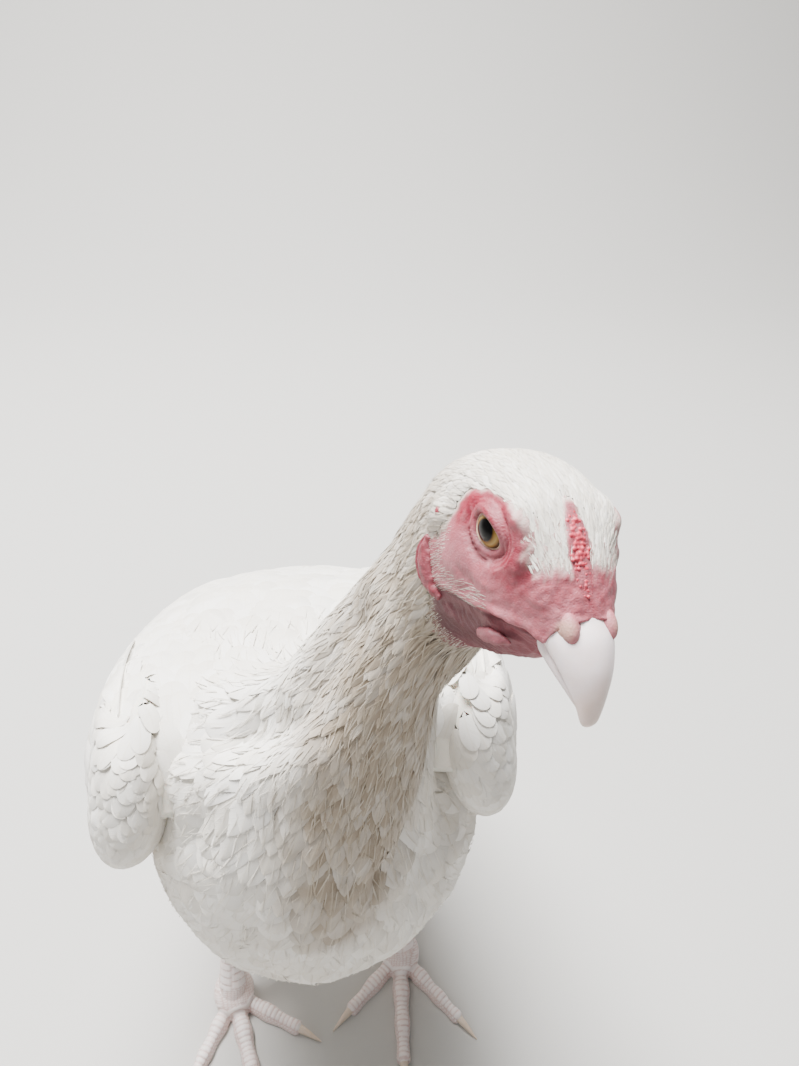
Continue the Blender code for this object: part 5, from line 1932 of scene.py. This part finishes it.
def scale_leg(piece, word, side):
    """Raises the plates of the shank and the toes, and gives the creases their share."""
    points = mesh_points(piece) * (side, 1, 1)
    piece.data.update()
    normals = np.zeros(len(points) * 3, np.float32)
    piece.data.vertices.foreach_get("normal", normals)
    normals = normals.reshape(-1, 3) * (side, 1, 1)
    rows = leg_rows(word)[LEG_CUT * LEG_STEPS :]
    axes = [(SHANK_PLATES, rows, (0, -1, 0.2))]
    axes += [(TOE_PLATES, toe_rows(word, name)[0], (0, 0, 1)) for name in TOES]
    best = np.full(len(points), 1e9)
    crease, height = np.zeros(len(points)), np.zeros(len(points))
    for (reach, length), rows, face in axes:
        on_shank = length == SHANK_PLATES[1]
        line = row_middles(rows)
        run = run_along(line)
        fine = np.linspace(0, run[-1], 200)
        dots = read_at(fine, run, line)
        gaps = np.linalg.norm(points[:, None] - dots[None], axis=2)
        nearest = gaps.argmin(1)
        s, radius = fine[nearest], np.interp(fine[nearest], run, rows[:, 6])
        ratio = gaps.min(1) / radius
        way = unit(line[-1] - line[0])
        up = unit(np.array(face) - way * (np.array(face) @ way))
        offset = points - dots[nearest]
        angle = np.arctan2(offset @ np.cross(way, up), offset @ up)
        arc = angle * radius
        closer = ratio < best
        best = np.where(closer, ratio, best)
        # Plates lie in two columns down the shank and in one along a toe, with small scales beside them.
        shifted = s + (length / 2 * (angle > 0) if on_shank else 0)
        phase = (shifted / length) % 1
        beside = abs(abs(angle) - reach) * radius
        gap = np.minimum(np.minimum(phase, 1 - phase) * length, beside)
        if on_shank:
            gap = np.minimum(gap, abs(arc))
        small = cells_depth(np.stack([s, arc], -1), SMALL_SCALE, 81)
        ends = (s < 0.3) | (s > run[-1] - 0.3)
        if ends.any():
            small[ends] = cells_depth(points[ends][:, :2] + points[ends][:, 2:3], SMALL_SCALE, 82)
        plates = (abs(angle) < reach) & ~ends
        gap = np.where(plates, gap, np.minimum(small, np.where(ends, 1e9, beside)))
        rise = np.where(plates, PLATE_RISE, SCALE_RISE) * (1 - np.exp(-((gap / SCALE_EDGE) ** 2)))
        slope = np.where(plates, 0.22 * (phase - 0.5), 0)
        height = np.where(closer, rise + slope - 0.2, height)
        crease = np.where(closer, np.exp(-((gap / 0.3) ** 2)), crease)
    # The sole stays flat.
    sole = smooth_step(0.2, 1.2, points[:, 2])
    points = points + normals * (height * sole)[:, None]
    points[:, 2] = np.maximum(points[:, 2], 0)
    move_points(piece, points * (side, 1, 1))
    put_values(piece, {"crease": crease})


def pad_rows(word):
    """The ball of the foot, flat underneath."""
    rows = []
    for t in np.linspace(-0.98, 1, 24):
        r = math.sqrt(max(0, 1 - t * t)) + 0.02
        centre = np.array(FOOT_PAD) + (0, FOOT_SHIFTS[word] + FOOT_PAD_SIZE[1] * t, 0)
        top = centre + [0, 0, FOOT_PAD_SIZE[2] * r]
        low = max(centre[2] - FOOT_PAD_SIZE[2] * r, 0)
        rows.append([*top, centre[0], centre[1], low, FOOT_PAD_SIZE[0] * r])
    return np.array(rows)


def claw_rows(end, way, length, tip):
    """A claw from a toe's end, thinner towards its point and clear of the floor."""
    rows = []
    for share in np.linspace(0, 1, 20):
        spot = end + way * (0.6 + (length + 1) * share)
        top = 1.25 * tip * (1 - share**1.6) + 0.9
        low = max(0.25, 0.9 * (1 - share))
        width = tip * 0.55 * (1 - share**1.3) + 0.25
        rows.append([*(spot + [0, 0, max(top, low + 0.3)]), *(spot + [0, 0, low]), width])
    return np.array(rows)


# Fineness of the legs' mesh, in millimetres.
LEG_VOXEL = 0.6


def make_leg(word, side):
    """Shank, foot and toes as one scaled skin, and the claws."""
    flip = np.array([side, 1, 1])
    rows = leg_rows(word)[(LEG_CUT - 1) * LEG_STEPS :]
    parts = [grid_piece("shank", rings_of(rows, round_outline(48)) * flip)]
    parts.append(grid_piece("pad", rings_of(pad_rows(word), round_outline(40)) * flip))
    claws = []
    for name in TOES:
        rows, end, way = toe_rows(word, name)
        parts.append(grid_piece("toe", rings_of(rows, flat_outline(32)) * flip))
        length = HIND_CLAW_LENGTH if name == "hind" else CLAW_LENGTH
        rows = claw_rows(end, way, length, TOES[name][3])
        claws.append(grid_piece("claw", rings_of(rows, round_outline(24)) * flip))
    leg = remeshed(join(f"scaled_leg_{word}", parts), LEG_VOXEL, 3)
    scale_leg(leg, word, side)
    nodes = [f"shank_{word}", f"foot_{word}", *(f"toe_{name}_{word}" for name in TOES)]
    settle(leg, LEG, "leg", *nodes)
    claw = join(f"claws_{word}", claws)
    put_values(claw, {"wear": np.full(len(claw.data.vertices), 0.3)})
    settle(claw, CLAW, "claw", *(f"claw_{name}_{word}" for name in TOES))


for side_word, side_sign in SIDES.items():
    make_leg(side_word, side_sign)


# The floor in metres: how far it goes in front and to the sides, where it bends up, and how high it goes.
FLOOR_FRONT, FLOOR_SIDE, FLOOR_BEND, BEND_RADIUS, WALL = -3, 4, 1.0, 0.8, (1.9, 4)
WORLD_LIGHT = 0.32
# Lamps: place in metres, watts and size.
LAMPS = {"key_light": ((-0.3, 0.4, 1.9), 190, 1.0), "front_light": ((-0.7, -1.2, 1.0), 5, 1.0)}
LAMP_TARGET = (0, 0, 0.2)


def make_stage():
    """A plain pale floor, soft light from above and a little fill."""
    profile = [(FLOOR_FRONT, 0), (FLOOR_BEND, 0)]
    for turn in np.linspace(0.1, 1.5, 16):
        profile.append((FLOOR_BEND + BEND_RADIUS * math.sin(turn), BEND_RADIUS * (1 - math.cos(turn))))
    profile.append(WALL)
    corners = [(x, y, z) for y, z in profile for x in (-FLOOR_SIDE, FLOOR_SIDE)]
    mesh = bpy.data.meshes.new("floor")
    rows = range(len(profile) - 1)
    mesh.from_pydata(corners, [], [(2 * i, 2 * i + 1, 2 * i + 3, 2 * i + 2) for i in rows])
    mesh.shade_smooth()
    floor = bpy.data.objects.new("floor", mesh)
    bpy.context.scene.collection.objects.link(floor)
    made, _, shader = new_material("pale_floor", Roughness=0.9)
    shader.inputs["Base Color"].default_value = linear("BDBBB7")
    mesh.materials.append(made)
    world = bpy.data.worlds.new("studio")
    world.use_nodes = True
    background = world.node_tree.nodes["Background"]
    background.inputs[0].default_value = linear("EDEFF2")
    background.inputs[1].default_value = WORLD_LIGHT
    bpy.context.scene.world = world
    for name, (place, energy, size) in LAMPS.items():
        light = bpy.data.lights.new(name, "AREA")
        light.energy = energy
        light.size = size
        lamp = bpy.data.objects.new(name, light)
        lamp.location = place
        lamp.rotation_euler = (Vector(LAMP_TARGET) - Vector(place)).to_track_quat("-Z", "Y").to_euler()
        bpy.context.scene.collection.objects.link(lamp)


# The camera in the bird's frame, its turns in degrees, the photo's height and focal length in pixels, and
# the longer side of the sensor in millimetres.
CAMERA_PLACE = (-1.3, -238.8, 486.7)
CAMERA_YAW, CAMERA_PITCH, CAMERA_ROLL = 8.3, 36, -3.4
PHOTO_HEIGHT, FOCAL_PIXELS, SENSOR = 1066, 800, 36


def make_camera():
    """The camera at the photo's angle and with its framing."""
    yaw, pitch, roll = (math.radians(a) for a in (CAMERA_YAW, CAMERA_PITCH, CAMERA_ROLL))
    ahead = Vector((math.sin(yaw) * math.cos(pitch), math.cos(yaw) * math.cos(pitch), -math.sin(pitch)))
    right = Vector((math.cos(yaw), -math.sin(yaw), 0))
    down = ahead.cross(right)
    right, down = (
        right * math.cos(roll) + down * math.sin(roll),
        down * math.cos(roll) - right * math.sin(roll),
    )
    lens = bpy.data.cameras.new("camera")
    lens.sensor_width = SENSOR
    lens.lens = SENSOR * FOCAL_PIXELS / PHOTO_HEIGHT
    lens.clip_start = 0.01
    camera = bpy.data.objects.new("camera", lens)
    bpy.context.scene.collection.objects.link(camera)
    turn = Matrix((right, -down, -ahead)).transposed().to_4x4()
    camera.matrix_world = Matrix.Translation(Vector((np.array(CAMERA_PLACE) - BOX_MIDDLE) * MM)) @ turn
    bpy.context.scene.camera = camera


make_stage()
make_camera()
